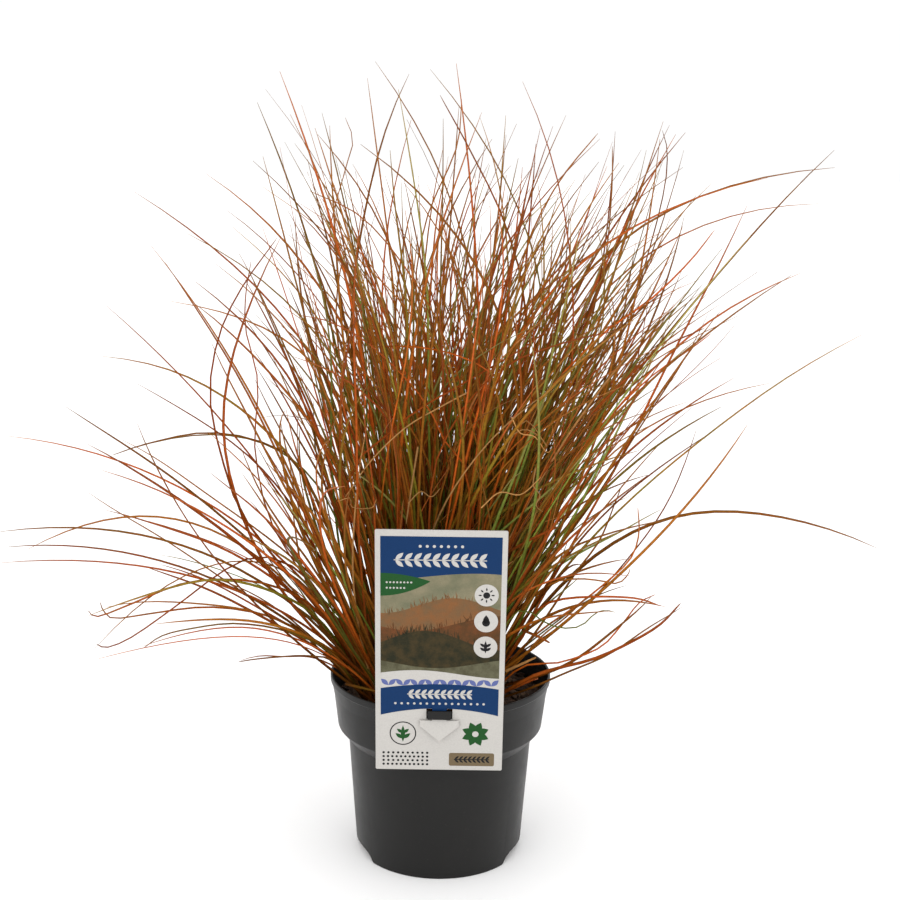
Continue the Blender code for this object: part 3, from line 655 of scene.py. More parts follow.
class Nodes:
    """A material's node tree, with short calls that return the socket to link on from."""

    def __init__(self, name, roughness, specular=0.5):
        self.material = bpy.data.materials.new(name)
        self.material.use_nodes = True
        self.tree = self.material.node_tree
        self.shader = self.tree.nodes["Principled BSDF"]
        self.shader.inputs["Roughness"].default_value = roughness
        self.shader.inputs["Specular IOR Level"].default_value = specular

    def node(self, kind, inputs=(), **settings):
        made = self.tree.nodes.new(kind)
        for word, value in settings.items():
            setattr(made, word, value)
        for key, value in dict(inputs).items():
            self.feed(made.inputs[key], value)
        return made

    def feed(self, socket, value):
        if isinstance(value, bpy.types.NodeSocket):
            self.tree.links.new(value, socket)
        else:
            socket.default_value = value

    def surface(self, word, value):
        self.feed(self.shader.inputs[word], value)

    def attribute(self, name):
        return self.node("ShaderNodeAttribute", attribute_name=name).outputs["Fac"]

    def noise(self, scale, detail=3.0, roughness=0.5):
        place = self.node("ShaderNodeTexCoord").outputs["Object"]
        inputs = {"Scale": scale, "Detail": detail, "Roughness": roughness, "Vector": place}
        return self.node("ShaderNodeTexNoise", inputs).outputs["Fac"]

    def ramp(self, value, stops):
        """A colour ramp. A stop is a place and a colour, or a place and a grey."""
        made = self.node("ShaderNodeValToRGB", {"Fac": value})
        elements = made.color_ramp.elements
        while len(elements) < len(stops):
            elements.new(0.5)
        for element, (place, colour) in zip(elements, stops):
            element.position = place
            element.color = (*colour, 1) if isinstance(colour, tuple) else (colour, colour, colour, 1)
        return made.outputs["Color"]

    def mix(self, share, first, second, blend="MIX"):
        made = self.node("ShaderNodeMix", data_type="RGBA", blend_type=blend)
        for socket, value in zip((made.inputs[0], made.inputs[6], made.inputs[7]), (share, first, second)):
            if isinstance(value, tuple):
                value = (*value, 1)
            self.feed(socket, value)
        return made.outputs[2]

    def sum(self, first, second, operation="ADD"):
        return self.node("ShaderNodeMath", {0: first, 1: second}, operation=operation).outputs[0]

    def bump(self, height, distance, strength=1.0):
        made = self.node("ShaderNodeBump", {"Height": height, "Distance": distance, "Strength": strength})
        self.surface("Normal", made.outputs["Normal"])


def blade_material():
    """Green to bronze to orange by the blade's hue, changing from its root to its dry tip."""
    made = Nodes("sedge blades", 0.6, 0.08)
    along, hue, tone = (made.attribute(word) for word in ("along", "hue", "tone"))
    fresh = made.ramp(along, (
        (0.0, (0.1, 0.07, 0.006)),
        (0.2, (0.15, 0.17, 0.012)),
        (0.6, (0.23, 0.29, 0.045)),
        (1.0, (0.42, 0.29, 0.1)),
    ))
    green = made.ramp(along, (
        (0.0, (0.08, 0.04, 0.003)),
        (0.18, (0.12, 0.1, 0.006)),
        (0.55, (0.21, 0.165, 0.014)),
        (0.82, (0.28, 0.155, 0.022)),
        (1.0, (0.34, 0.18, 0.045)),
    ))
    bronze = made.ramp(along, (
        (0.0, (0.1, 0.032, 0.002)),
        (0.25, (0.22, 0.073, 0.004)),
        (0.6, (0.35, 0.12, 0.01)),
        (0.85, (0.34, 0.118, 0.02)),
        (1.0, (0.36, 0.15, 0.042)),
    ))
    orange = made.ramp(along, (
        (0.0, (0.15, 0.034, 0.002)),
        (0.2, (0.33, 0.07, 0.004)),
        (0.6, (0.5, 0.098, 0.011)),
        (0.88, (0.41, 0.1, 0.024)),
        (1.0, (0.42, 0.145, 0.042)),
    ))
    straw = (0.5, 0.25, 0.08)
    patches = made.sum(made.noise(38.0, 2.0), 0.5, "SUBTRACT")
    drifted = made.sum(hue, made.sum(patches, 0.3, "MULTIPLY"))
    to_bronze = made.ramp(drifted, ((0.28, 0.0), (0.41, 1.0)))
    to_orange = made.ramp(drifted, ((0.66, 0.0), (0.8, 1.0)))
    green = made.mix(made.ramp(hue, ((0.09, 1.0), (0.12, 0.0))), green, fresh)
    colour = made.mix(to_orange, made.mix(to_bronze, green, bronze), orange)
    colour = made.mix(made.ramp(hue, ((0.955, 0.0), (0.965, 1.0))), colour, straw)
    light = made.ramp(tone, ((0.0, 0.66), (0.5, 1.0), (1.0, 1.5)))
    colour = made.mix(1.0, colour, light, "MULTIPLY")
    mottled = made.ramp(made.noise(420.0, 3.0), ((0.3, 0.78), (0.7, 1.12)))
    colour = made.mix(1.0, colour, mottled, "MULTIPLY")
    margins = made.ramp(made.attribute("edge"), ((0.35, 1.0), (1.0, 0.55)))
    colour = made.mix(1.0, colour, margins, "MULTIPLY")
    made.surface("Base Color", colour)
    made.bump(made.noise(900.0, 2.0), 0.0001, 0.4)
    thin = made.node("ShaderNodeBsdfTranslucent", {"Color": colour})
    both = made.node("ShaderNodeMixShader", {0: 0.22, 1: made.shader.outputs[0], 2: thin.outputs[0]})
    made.feed(made.tree.nodes["Material Output"].inputs["Surface"], both.outputs[0])
    return made.material


def pot_material():
    """Black moulded plastic with a fine satin grain and a little dust."""
    made = Nodes("pot plastic", 0.42, 0.24)
    dust = made.ramp(made.noise(26.0, 5.0, 0.62), ((0.42, 0.0), (0.75, 1.0)))
    speckle = made.ramp(made.noise(620.0, 2.0), ((0.66, 0.0), (0.74, 1.0)))
    black = made.mix(made.sum(dust, 0.35, "MULTIPLY"), (0.0072, 0.007, 0.0066), (0.0135, 0.0128, 0.0118))
    made.surface("Base Color", made.mix(made.sum(speckle, 0.12, "MULTIPLY"), black, (0.06, 0.052, 0.045)))
    made.surface("Roughness", made.ramp(made.noise(55.0, 4.0, 0.6), ((0.3, 0.36), (0.7, 0.47))))
    made.bump(made.noise(1500.0, 2.0), 0.00008, 0.35)
    return made.material


def mix_material():
    """Damp potting mix: bark, peat and a few pale fibres."""
    made = Nodes("potting mix", 0.92, 0.25)
    crumbs = made.noise(260.0, 6.0, 0.65)
    colour = made.ramp(crumbs, (
        (0.3, (0.016, 0.009, 0.005)),
        (0.5, (0.042, 0.021, 0.011)),
        (0.62, (0.085, 0.043, 0.022)),
        (0.75, (0.2, 0.12, 0.065)),
    ))
    made.surface("Base Color", colour)
    made.bump(crumbs, 0.0012)
    return made.material


def crumb_material():
    """Loose bits on the mix, each a shade of its own."""
    made = Nodes("mix crumbs", 0.88, 0.25)
    colour = made.ramp(made.attribute("tone"), (
        (0.0, (0.016, 0.009, 0.006)),
        (0.6, (0.045, 0.023, 0.013)),
        (0.88, (0.12, 0.065, 0.035)),
        (1.0, (0.36, 0.23, 0.13)),
    ))
    made.surface("Base Color", made.mix(made.noise(900.0, 4.0), colour, (0.035, 0.018, 0.01)))
    made.bump(made.noise(1200.0, 3.0), 0.0003, 0.8)
    return made.material


def crown_material():
    """Packed stem bases: brown fibre."""
    made = Nodes("crown fibre", 0.85, 0.25)
    fibre = made.noise(330.0, 5.0, 0.7)
    made.surface("Base Color", made.ramp(fibre, (
        (0.3, (0.012, 0.007, 0.004)),
        (0.55, (0.07, 0.035, 0.014)),
        (0.75, (0.17, 0.09, 0.035)),
    )))
    made.bump(fibre, 0.002)
    return made.material


def print_material(name, colour, other=None, scale=60.0):
    """A printed colour under a thin gloss, evenly or drifting into another one."""
    made = Nodes(name, 0.42, 0.12)
    fleck = made.ramp(made.noise(1400.0, 2.0), ((0.3, 0.94), (0.7, 1.04)))
    if other:
        colour = made.mix(made.ramp(made.noise(scale, 4.0, 0.6), ((0.36, 0.0), (0.64, 1.0))), colour, other)
    made.surface("Base Color", made.mix(1.0, colour, fleck, "MULTIPLY"))
    made.bump(made.noise(700.0, 2.0), 0.00002, 0.5)
    return made.material


POT_SIDES = 144
ROUNDING, HOLLOW_ROUNDING, MOST_ROUNDED = 0.7, 0.15, 0.45
ROUNDING_STEPS = 4
BAR_ROUNDING, POST_ROUNDING = 0.35, 0.2
NOTCH_FLARE, ARCH_FULLNESS, ARCH_STEPS = 1.5, 0.6, 8


def softened(profile):
    """The profile with its corners rounded, the hollow ones less."""
    out = [profile[0]]
    for before, corner, after in zip(profile, profile[1:], profile[2:]):
        before, corner, after = (np.array(point, float) for point in (before, corner, after))
        arriving, leaving = corner - before, after - corner
        hollow = arriving[0] * leaving[1] - arriving[1] * leaving[0] > 0
        reach = HOLLOW_ROUNDING if hollow else ROUNDING
        ends = []
        for other in (before, after):
            away = other - corner
            ends.append(corner + away * min(MOST_ROUNDED, reach / np.linalg.norm(away)))
        for step in range(ROUNDING_STEPS + 1):
            t = step / ROUNDING_STEPS
            out.append(tuple((1 - t) ** 2 * ends[0] + 2 * t * (1 - t) * corner + t * t * ends[1]))
    return out + [profile[-1]]


def lathe(profile, sides):
    """A closed bmesh from a profile that starts and ends on the axis and runs down its outer side."""
    shape = bmesh.new()
    rows = []
    for radius, z in profile:
        if radius < 0.001:
            rows.append([shape.verts.new((0, 0, z * MM))])
            continue
        turns = [TURN * i / sides for i in range(sides)]
        places = [(radius * math.cos(a) * MM, radius * math.sin(a) * MM, z * MM) for a in turns]
        rows.append([shape.verts.new(place) for place in places])
    for upper, lower in zip(rows, rows[1:]):
        for i in range(sides):
            corners = [upper[i % len(upper)], lower[i % len(lower)]]
            corners += [lower[(i + 1) % len(lower)], upper[(i + 1) % len(upper)]]
            shape.faces.new(list(dict.fromkeys(corners)))
    bmesh.ops.recalc_face_normals(shape, faces=shape.faces)
    return shape


def to_mesh(shape, name):
    mesh = bpy.data.meshes.new(name)
    shape.to_mesh(mesh)
    shape.free()
    return mesh


def inner_profile(clearance=0.0):
    channel_top = CHANNEL_Z + FLOOR
    slope = (BODY_TOP_RADIUS - BASE_RADIUS) / BODY_TOP_Z
    inset = WALL + clearance
    centre = CENTRE_RADIUS - clearance
    return (
        (0, FLOOR + clearance),
        (centre - STEP_SLOPE, FLOOR + clearance),
        (centre + STEP_SLOPE, channel_top + clearance),
        (BASE_RADIUS + slope * channel_top - inset, channel_top + clearance),
        (BODY_TOP_RADIUS - inset, BODY_TOP_Z),
        (COLLAR_FOOT_RADIUS - inset - EDGE, COLLAR_FOOT_Z + STEP_SLOPE),
    )


def outer_profile():
    under_lip = RIM_TOP - LIP_HEIGHT
    return (
        (RIM_RADIUS, RIM_TOP),
        (RIM_RADIUS, under_lip),
        (RIM_RADIUS - LIP_PROUD, under_lip - EDGE),
        (COLLAR_MID_RADIUS, COLLAR_MID_Z),
        (COLLAR_FOOT_RADIUS, COLLAR_FOOT_Z),
        (BODY_TOP_RADIUS, BODY_TOP_Z),
        (BASE_RADIUS, 0),
    )


def build_pot():
    underside = (
        (BASE_RADIUS - FOOT_WIDTH, 0),
        (BASE_RADIUS - FOOT_WIDTH - STEP_SLOPE, CHANNEL_Z),
        (CENTRE_RADIUS + STEP_SLOPE, CHANNEL_Z),
        (CENTRE_RADIUS, 0),
        (0, 0),
    )
    profile = inner_profile() + ((RIM_RADIUS - WALL, RIM_TOP),) + outer_profile() + underside
    pot = finished("nursery_pot", to_mesh(lathe(softened(profile), POT_SIDES), "pot"), pot_material())
    tools = [("DIFFERENCE", notch(angle)) for angle in NOTCH_ANGLES]
    tools += [("UNION", piece) for piece in tag_lock()]
    shaped(pot, tools)
    return on_frame(pot, "pot_plastic", "pot")


def shaped(obj, tools):
    """Cuts and joins obj with each tool, applies the result and removes the tools."""
    for operation, tool in tools:
        modifier = obj.modifiers.new(tool.name, "BOOLEAN")
        modifier.operation = operation
        modifier.solver = "EXACT"
        modifier.object = tool
    bpy.context.view_layer.update()
    graph = bpy.context.evaluated_depsgraph_get()
    mesh = bpy.data.meshes.new_from_object(obj.evaluated_get(graph), depsgraph=graph)
    obj.modifiers.clear()
    obj.data = mesh
    mesh.set_sharp_from_angle(angle=SHARP)
    for _, tool in tools:
        bpy.data.objects.remove(tool, do_unlink=True)


def soft_box(name, size, centre, rounding):
    shape = bmesh.new()
    bmesh.ops.create_cube(shape, size=1)
    bmesh.ops.scale(shape, vec=[side * MM for side in size], verts=shape.verts)
    bmesh.ops.bevel(shape, geom=shape.edges, offset=rounding * MM, segments=3, affect="EDGES", profile=0.5)
    bmesh.ops.translate(shape, vec=[place * MM for place in centre], verts=shape.verts)
    return finished(name, to_mesh(shape, name))


def tag_lock():
    """The bar across the front of the rim and the two posts that carry it."""
    bar_y = -(RIM_RADIUS + BAR_OUT - BAR_THICKNESS / 2)
    bar_z = BAR_TOP - BAR_HEIGHT / 2
    pieces = [soft_box("bar", (BAR_WIDTH, BAR_THICKNESS, BAR_HEIGHT), (0, bar_y, bar_z), BAR_ROUNDING)]
    back = RIM_RADIUS - POST_ROOT
    front = RIM_RADIUS + BAR_OUT - POST_SETBACK
    size = (POST_WIDTH, front - back, BAR_HEIGHT - 2 * POST_SETBACK)
    for side in (-1, 1):
        post_x = side * (BAR_WIDTH - POST_WIDTH - POST_SETBACK) / 2
        centre = (post_x, -(front + back) / 2, bar_z)
        pieces.append(soft_box(f"post_{side}", size, centre, POST_ROUNDING))
    return pieces


def notch(angle):
    """An arched opening in the foot of the wall and the floor's edge, with a slanted inner face."""
    half_width = NOTCH_WIDTH / 2
    half = [(half_width + NOTCH_FLARE, -PAST), (half_width + NOTCH_FLARE, 0)]
    for i in range(1, ARCH_STEPS + 1):
        turn = i / ARCH_STEPS * math.pi / 2
        half.append((half_width * math.cos(turn) ** ARCH_FULLNESS, NOTCH_HEIGHT * math.sin(turn)))
    arch = half + [(-y, z) for y, z in half[-2::-1]]
    inner, outer = BASE_RADIUS - NOTCH_DEPTH, BASE_RADIUS + PAST
    shape = bmesh.new()
    rows = []
    for near in (True, False):
        radii = [inner + NOTCH_SLANT * max(0, z) / NOTCH_HEIGHT if near else outer for _, z in arch]
        rows.append([shape.verts.new((r * MM, y * MM, z * MM)) for r, (y, z) in zip(radii, arch)])
    for i in range(len(arch)):
        j = (i + 1) % len(arch)
        shape.faces.new((rows[0][i], rows[0][j], rows[1][j], rows[1][i]))
    shape.faces.new(rows[1])
    bmesh.ops.triangle_fill(shape, use_beauty=True, edges=[e for e in shape.edges if e.is_boundary])
    bmesh.ops.rotate(shape, matrix=Matrix.Rotation(math.radians(angle), 3, "Z"), verts=shape.verts)
    bmesh.ops.recalc_face_normals(shape, faces=shape.faces)
    return finished(f"notch_{angle}", to_mesh(shape, "notch"))


# The bed of mix, and the size, level, octaves and share of its coarse and its fine unevenness
MIX_SIDES, MIX_RINGS = 150, 46
MIX_SINK, MIX_RELIEF = 1.2, 2.6
MIX_PATCHES = ((16, 3.1, 4, 0.45), (4, 8.7, 3, 0.28))
CRUMBS, CRUMB_MARGIN = 1100, 2
CRUMB_SIZE, CRUMB_EXTRA, CRUMB_SKEW = 0.5, 2.1, 2.5
CRUMB_LENGTHS, CRUMB_HEIGHTS = (0.8, 2.4), (0.35, 0.8)
CRUMB_LIFT, CRUMB_TILT, CRUMB_ROUGHNESS, TONE_SKEW = 0.25, 0.4, 0.13, 1.5
CROWN_SIDES, CROWN_RINGS, CROWN_SINK = 90, 14, 1
CROWN_GRAIN, CROWN_RELIEF = 150, 1.6


def mix_edge():
    slope = (RIM_RADIUS - COLLAR_FOOT_RADIUS) / (RIM_TOP - COLLAR_FOOT_Z)
    return COLLAR_FOOT_RADIUS + slope * (SOIL_TOP - COLLAR_FOOT_Z) - WALL - GAP - SOIL_MARGIN


def mix_height(x, y):
    """The potting mix's uneven surface."""
    rise = 0
    for size, level, octaves, share in MIX_PATCHES:
        rise += share * noise.fractal(Vector((x / size, y / size, level)), 1.0, 2.0, octaves)
    return SOIL_TOP - MIX_SINK + MIX_RELIEF * rise


def build_mix():
    edge = mix_edge()
    top = [(edge * i / MIX_RINGS, SOIL_TOP) for i in range(MIX_RINGS)]
    profile = top + [(edge, SOIL_TOP - SOIL_DIP)] + list(inner_profile(GAP)[::-1])
    shape = lathe(profile, MIX_SIDES)
    for vert in shape.verts:
        x, y, z = (value / MM for value in vert.co)
        if z > SOIL_TOP - 0.01:
            vert.co.z = mix_height(x, y) * MM
    mix = finished("potting_mix", to_mesh(shape, "potting_mix"), mix_material())
    return on_frame(mix, "potting_mix", "soil")


def build_crumbs():
    """Bits of bark and fibre that lie on the mix."""
    draw = random.Random(SEED)
    edge = mix_edge() - CRUMB_MARGIN
    shape = bmesh.new()
    tones = []
    for _ in range(CRUMBS):
        radius, turn = edge * math.sqrt(draw.random()), draw.uniform(0, TURN)
        x, y = radius * math.cos(turn), radius * math.sin(turn)
        size = CRUMB_SIZE + CRUMB_EXTRA * draw.random() ** CRUMB_SKEW
        matrix = Matrix.Translation(Vector((x, y, mix_height(x, y) + CRUMB_LIFT * size)) * MM)
        matrix @= Matrix.Rotation(draw.uniform(0, TURN), 4, "Z")
        matrix @= Matrix.Rotation(draw.gauss(0, CRUMB_TILT), 4, "X")
        matrix @= Matrix.Diagonal((draw.uniform(*CRUMB_LENGTHS), 1, draw.uniform(*CRUMB_HEIGHTS), 1))
        made = bmesh.ops.create_icosphere(shape, subdivisions=1, radius=size * MM, matrix=matrix)["verts"]
        for vert in made:
            vert.co += Vector([draw.gauss(0, CRUMB_ROUGHNESS * size * MM) for _ in range(3)])
        tones += [draw.random() ** TONE_SKEW] * len(made)
    mesh = to_mesh(shape, "mix_crumbs")
    add_values(mesh, "tone", tones)
    return on_frame(finished("mix_crumbs", mesh, crumb_material()), "potting_mix")


def build_crown():
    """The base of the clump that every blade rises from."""
    profile = []
    for i in range(CROWN_RINGS + 1):
        profile.append((CROWN_RADIUS * i / CROWN_RINGS, crown_height(i / CROWN_RINGS) - CROWN_SINK))
    profile += [(CROWN_RADIUS, CROWN_BOTTOM), (0, CROWN_BOTTOM)]
    shape = lathe(profile, CROWN_SIDES)
    for vert in shape.verts:
        if vert.co.z > (CROWN_BOTTOM + 1) * MM:
            rough = noise.fractal(vert.co * CROWN_GRAIN, 1.0, 2.0, 3)
            vert.co.z += CROWN_RELIEF * rough * MM
        vert.co.x += CROWN_CENTRE[0] * MM
        vert.co.y += CROWN_CENTRE[1] * MM
    return on_frame(finished("sedge_crown", to_mesh(shape, "crown"), crown_material()), "sedge_blades")


def turned_aside(line, draw, margin, low, high):
    """The line with its tip turned aside, if it is one of those and a try stays in the dense part."""
    tries = HOOK_TRIES if draw.random() < HOOK_SHARE else 0
    for _ in range(tries):
        turned_line = hooked(line, draw, HOOK_TURN, HOOK_START)
        if dense_share(turned_line, margin + HOOK_MARGIN) == 1 and inside_box(turned_line, low, high):
            return turned_line
    return line


def solid_blades(draw, low, high):
    """The solids' blades. Those that were seeded end where they leave the dense part."""
    blades = []
    for rank, line in enumerate(grow()):
        leads = rank < len(LEADING)
        if not leads:
            margin = draw.uniform(*DENSE_MARGIN)
            line = trimmed(line, max(SHORTEST, dense_share(line, margin)))
            line = turned_aside(line, draw, margin, low, high)
        hue = draw.uniform(*BROWN_HUES) if leads or line[-1, 0] < BROWN_SIDE else draw.random()
        width = draw.uniform(*LEADING_WIDTHS) if leads else None
        blades.append(Blade(line, draw, hue, width))
    return blades


def traced_blades(draw):
    """The blades with a course of their own, then the dry ones, of which the stubs end blunt."""
    blades = []
    for hue, width, root, depths, *pixels in SINGLE:
        blades.append(Blade(own_line(depths, pixels, root), draw, hue, width, wave=0))
    dry = [(hue, width, own_line(depths, pixels)) for hue, width, depths, *pixels in THREADS]
    dry += [(hue, width, smooth_path(points)) for hue, width, points in STRANDS]
    dry += [(hue, width, own_line(depths, pixels)) for hue, width, depths, *pixels in STUBS]
    for hue, width, line in dry:
        taper = BLUNT if width > STUB_WIDTH else TAPER
        blades.append(Blade(line, draw, hue, width, 0, taper))
    return blades


def finer_blade(draw, low, high):
    """A fine blade or a hair, or None where the one drawn doesn't fit."""
    low_one = draw.random() < FINE_LOW_SHARE
    line = low_line(draw) if low_one else inner_line(draw)
    is_hair = draw.random() < HAIR_SHARE
    if is_hair:
        line = hooked(line, draw, HAIR_TURN, HAIR_START)
    elif draw.random() < HOOK_SHARE:
        line = hooked(line, draw, HOOK_TURN, HOOK_START)
    fits = low_one or dense_share(line, draw.uniform(*DENSE_MARGIN)) == 1
    if not (fits and clears_the_rest(line) and inside_box(line, low, high)):
        return None
    if is_hair:
        return Blade(line, draw, draw.uniform(*HAIR_HUE), draw.uniform(*HAIR_WIDTH))
    return Blade(line, draw, draw.uniform(*GREEN_HUES) if line[-1, 0] > GREEN_SIDE else None)


def dressed_blades():
    low, high = (np.array(corner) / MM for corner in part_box("sedge_tuft"))
    draw = random.Random(FINE_SEED)
    blades = solid_blades(draw, low, high) + traced_blades(draw)
    wanted = len(blades) + FINE_BLADES
    while len(blades) < wanted:
        blade = finer_blade(draw, low, high)
        if blade:
            blades.append(blade)
    return blades


def build_blades():
    blades = dressed_blades()
    finish = blade_material()
    for start in range(0, len(blades), PIECE_BLADES):
        name = f"sedge_blades_{start // PIECE_BLADES + 1}"
        piece = blades_piece(name, blades[start : start + PIECE_BLADES], finish)
        on_frame(piece, "sedge_blades", "sedge_tuft")


# The label's print: heights are along the card from its bottom edge
PRINT_RAISE = 0.03
PRINT_SINK = 0.1
CARD_THICKNESS = 0.5
BORDER = 3.1
DISC_SIDES = 40
LEAF_STEPS = 8
CORNER_STEPS = 6
GRASS_STROKES = 70
LEAF_SPLAY = 0.75
ICON_X, ICON_RADIUS, ICON_HEIGHTS = 26.3, 6.9, (115, 98.5, 82)
FOOT_X, FOOT_H = 21.5, 24.5
PRINTED_NECK = 2


def rounded_box(x, h, width, height, corner):
    """The outline of a box with rounded corners round its centre (x, h)."""
    points = []
    for quarter, (side, end) in enumerate(((1, 1), (-1, 1), (-1, -1), (1, -1))):
        for step in range(CORNER_STEPS + 1):
            angle = (quarter + step / CORNER_STEPS) * math.pi / 2
            across = side * (width / 2 - corner) + corner * math.cos(angle)
            points.append((x + across, h + end * (height / 2 - corner) + corner * math.sin(angle)))
    return points


class Print:
    """Flat printed shapes on a card's face. A later layer lies a little over an earlier one."""

    def __init__(self, shape):
        self.shape = shape

    def polygon(self, points, ink, layer=1):
        base, top = CARD_THICKNESS / 2 - PRINT_SINK, CARD_THICKNESS / 2 + PRINT_RAISE * layer
        lower = [self.shape.verts.new((x * MM, h * MM, base * MM)) for x, h in points]
        upper = [self.shape.verts.new((x * MM, h * MM, top * MM)) for x, h in points]
        faces = [self.shape.faces.new(upper), self.shape.faces.new(lower[::-1])]
        for i in range(len(points)):
            j = (i + 1) % len(points)
            faces.append(self.shape.faces.new((lower[i], lower[j], upper[j], upper[i])))
        for face in faces:
            face.material_index = ink

    def disc(self, x, h, radius, ink, layer=1, sides=DISC_SIDES):
        turns = [TURN * i / sides for i in range(sides)]
        self.polygon([(x + radius * math.cos(a), h + radius * math.sin(a)) for a in turns], ink, layer)

    def ring(self, x, h, radius, thickness, ink):
        """A ring, as two halves that meet."""
        for start in (0, math.pi):
            turns = [start + math.pi * i / DISC_SIDES for i in range(DISC_SIDES + 1)]
            points = [(radius, a) for a in turns] + [(radius - thickness, a) for a in reversed(turns)]
            self.polygon([(x + r * math.cos(a), h + r * math.sin(a)) for r, a in points], ink)

    def band(self, left, right, lower, upper, ink, layer=1, steps=40):
        """What lies between two heights, each a function of the way across."""
        across = [left + (right - left) * i / steps for i in range(steps + 1)]
        points = [(x, lower(x)) for x in across] + [(x, upper(x)) for x in reversed(across)]
        self.polygon(points, ink, layer)

    def leaf(self, x, h, length, width, angle, ink, layer=2):
        """A pointed leaf that starts at (x, h)."""
        steps = [i / LEAF_STEPS for i in range(LEAF_STEPS + 1)]
        lower = [(length * t, -width / 2 * math.sin(math.pi * t)) for t in steps]
        outline = lower + [(a, -b) for a, b in reversed(lower[1:-1])]
        cos, sin = math.cos(angle), math.sin(angle)
        self.polygon([(x + a * cos - b * sin, h + a * sin + b * cos) for a, b in outline], ink, layer)

    def spray(self, left, right, h, length, width, ink, layer=2):
        """A stem that runs across with pairs of leaves along it."""
        self.band(left, right, lambda x: h - 0.3, lambda x: h + 0.3, ink, layer, 2)
        count = round((right - left) / (length * 0.8))
        for i in range(count):
            x = left + (right - left) * (i + 0.15) / count
            for side in (-1, 1):
                self.leaf(x, h, length, width, LEAF_SPLAY * side, ink, layer)

    def dots(self, left, right, h, count, radius, ink, layer=2):
        for i in range(count):
            self.disc(left + (right - left) * i / (count - 1), h, radius, ink, layer, 12)


(WHITE, BLUE, GREEN, SKY, FAR_HILL, HILL, NEAR_HILL, GROUND, VIOLET, TAN, DARK) = range(11)


def label_inks():
    return (
        print_material("label card", (0.49, 0.472, 0.445)),
        print_material("blue ink", (0.003, 0.028, 0.1)),
        print_material("green ink", (0.012, 0.07, 0.016)),
        print_material("hazy sky", (0.23, 0.2, 0.125), (0.14, 0.14, 0.085), 70.0),
        print_material("far hill", (0.2, 0.085, 0.03), (0.14, 0.085, 0.04), 130.0),
        print_material("middle hill", (0.13, 0.045, 0.014), (0.07, 0.035, 0.012), 170.0),
        print_material("near hill", (0.018, 0.018, 0.008), (0.045, 0.032, 0.012), 200.0),
        print_material("pale ground", (0.12, 0.115, 0.068), (0.07, 0.065, 0.036), 150.0),
        print_material("violet blue ink", (0.1, 0.125, 0.3)),
        print_material("tan ink", (0.15, 0.11, 0.062)),
        print_material("dark ink", (0.012, 0.012, 0.013)),
    )


def print_picture(card, side):
    """Layered hills under a hazy sky."""
    card.band(-side, side, lambda x: 60, lambda x: 130, SKY)
    hills = (
        (FAR_HILL, lambda x: 108 + 5 * math.sin(x / 13 + 1)),
        (HILL, lambda x: 97 + 5 * math.sin(x / 17 - 0.6)),
        (NEAR_HILL, lambda x: 86 + 6 * math.sin(x / 14 + 2.2)),
        (GROUND, lambda x: 71 + 3 * math.sin(x / 15 - 1.4)),
    )
    draw = random.Random(SEED)
    for depth, (ink, crest) in enumerate(hills):
        layer = 1.25 + 0.25 * depth
        card.band(-side, side, lambda x: 58, crest, ink, layer)
        for _ in range(GRASS_STROKES if ink != GROUND else 0):
            x = draw.uniform(-side + 3, side - 3)
            length, angle = draw.uniform(2.5, 6), math.pi / 2 + draw.gauss(0, 0.35)
            card.leaf(x, crest(x) - draw.uniform(0.3, 3), length, 0.5, angle, ink, layer + 0.1)


def print_icons(card):
    """Three round icons in a column: a sun, a drop and a sprig."""
    sun, drop, sprig = ICON_HEIGHTS
    for h in ICON_HEIGHTS:
        card.disc(ICON_X, h, ICON_RADIUS, WHITE, 3)
    card.disc(ICON_X, sun, 2, DARK, 4)
    for i in range(8):
        angle = TURN * i / 8
        card.leaf(ICON_X + 2.6 * math.cos(angle), sun + 2.6 * math.sin(angle), 2.2, 0.9, angle, DARK, 4)
    card.disc(ICON_X, drop - 0.9, 2.3, DARK, 4)
    card.leaf(ICON_X, drop - 2.6, 6.6, 3.5, math.pi / 2, DARK, 4)
    card.leaf(ICON_X, sprig - 4, 8, 2, math.pi / 2, DARK, 4)
    for side in (-1, 1):
        for rise in (-2.6, 0):
            card.leaf(ICON_X, sprig + rise, 4, 1.7, math.pi / 2 - 0.95 * side, DARK, 4)


def print_foot(card):
    """A rosette, a ring round a sprig, a tan box and rows of dots."""
    for i in range(8):
        card.leaf(FOOT_X, FOOT_H, 8.4, 4.6, TURN * (i + 0.5) / 8, GREEN, 1 + 0.1 * i)
    card.disc(FOOT_X, FOOT_H, 1.9, WHITE, 2.4)
    card.ring(-FOOT_X, FOOT_H, 7.9, 0.7, DARK)
    card.leaf(-FOOT_X, 18.8, 11, 2.6, math.pi / 2, GREEN, 1)
    for side in (-1, 1):
        card.leaf(-FOOT_X, 21, 5.6, 2.4, math.pi / 2 - 0.9 * side, GREEN, 1.2)
        card.leaf(-FOOT_X, 24.6, 4.6, 2, math.pi / 2 - 0.9 * side, GREEN, 1.2)
    card.polygon(rounded_box(19.5, 7.2, 27, 8.8, 1.2), TAN)
    card.spray(9, 30, 7.2, 3.4, 1.2, DARK, 1.6)
    for row in range(4):
        card.dots(-33, -7, 3.6 + 2.6 * row, 11 - row % 2, 0.75, DARK)


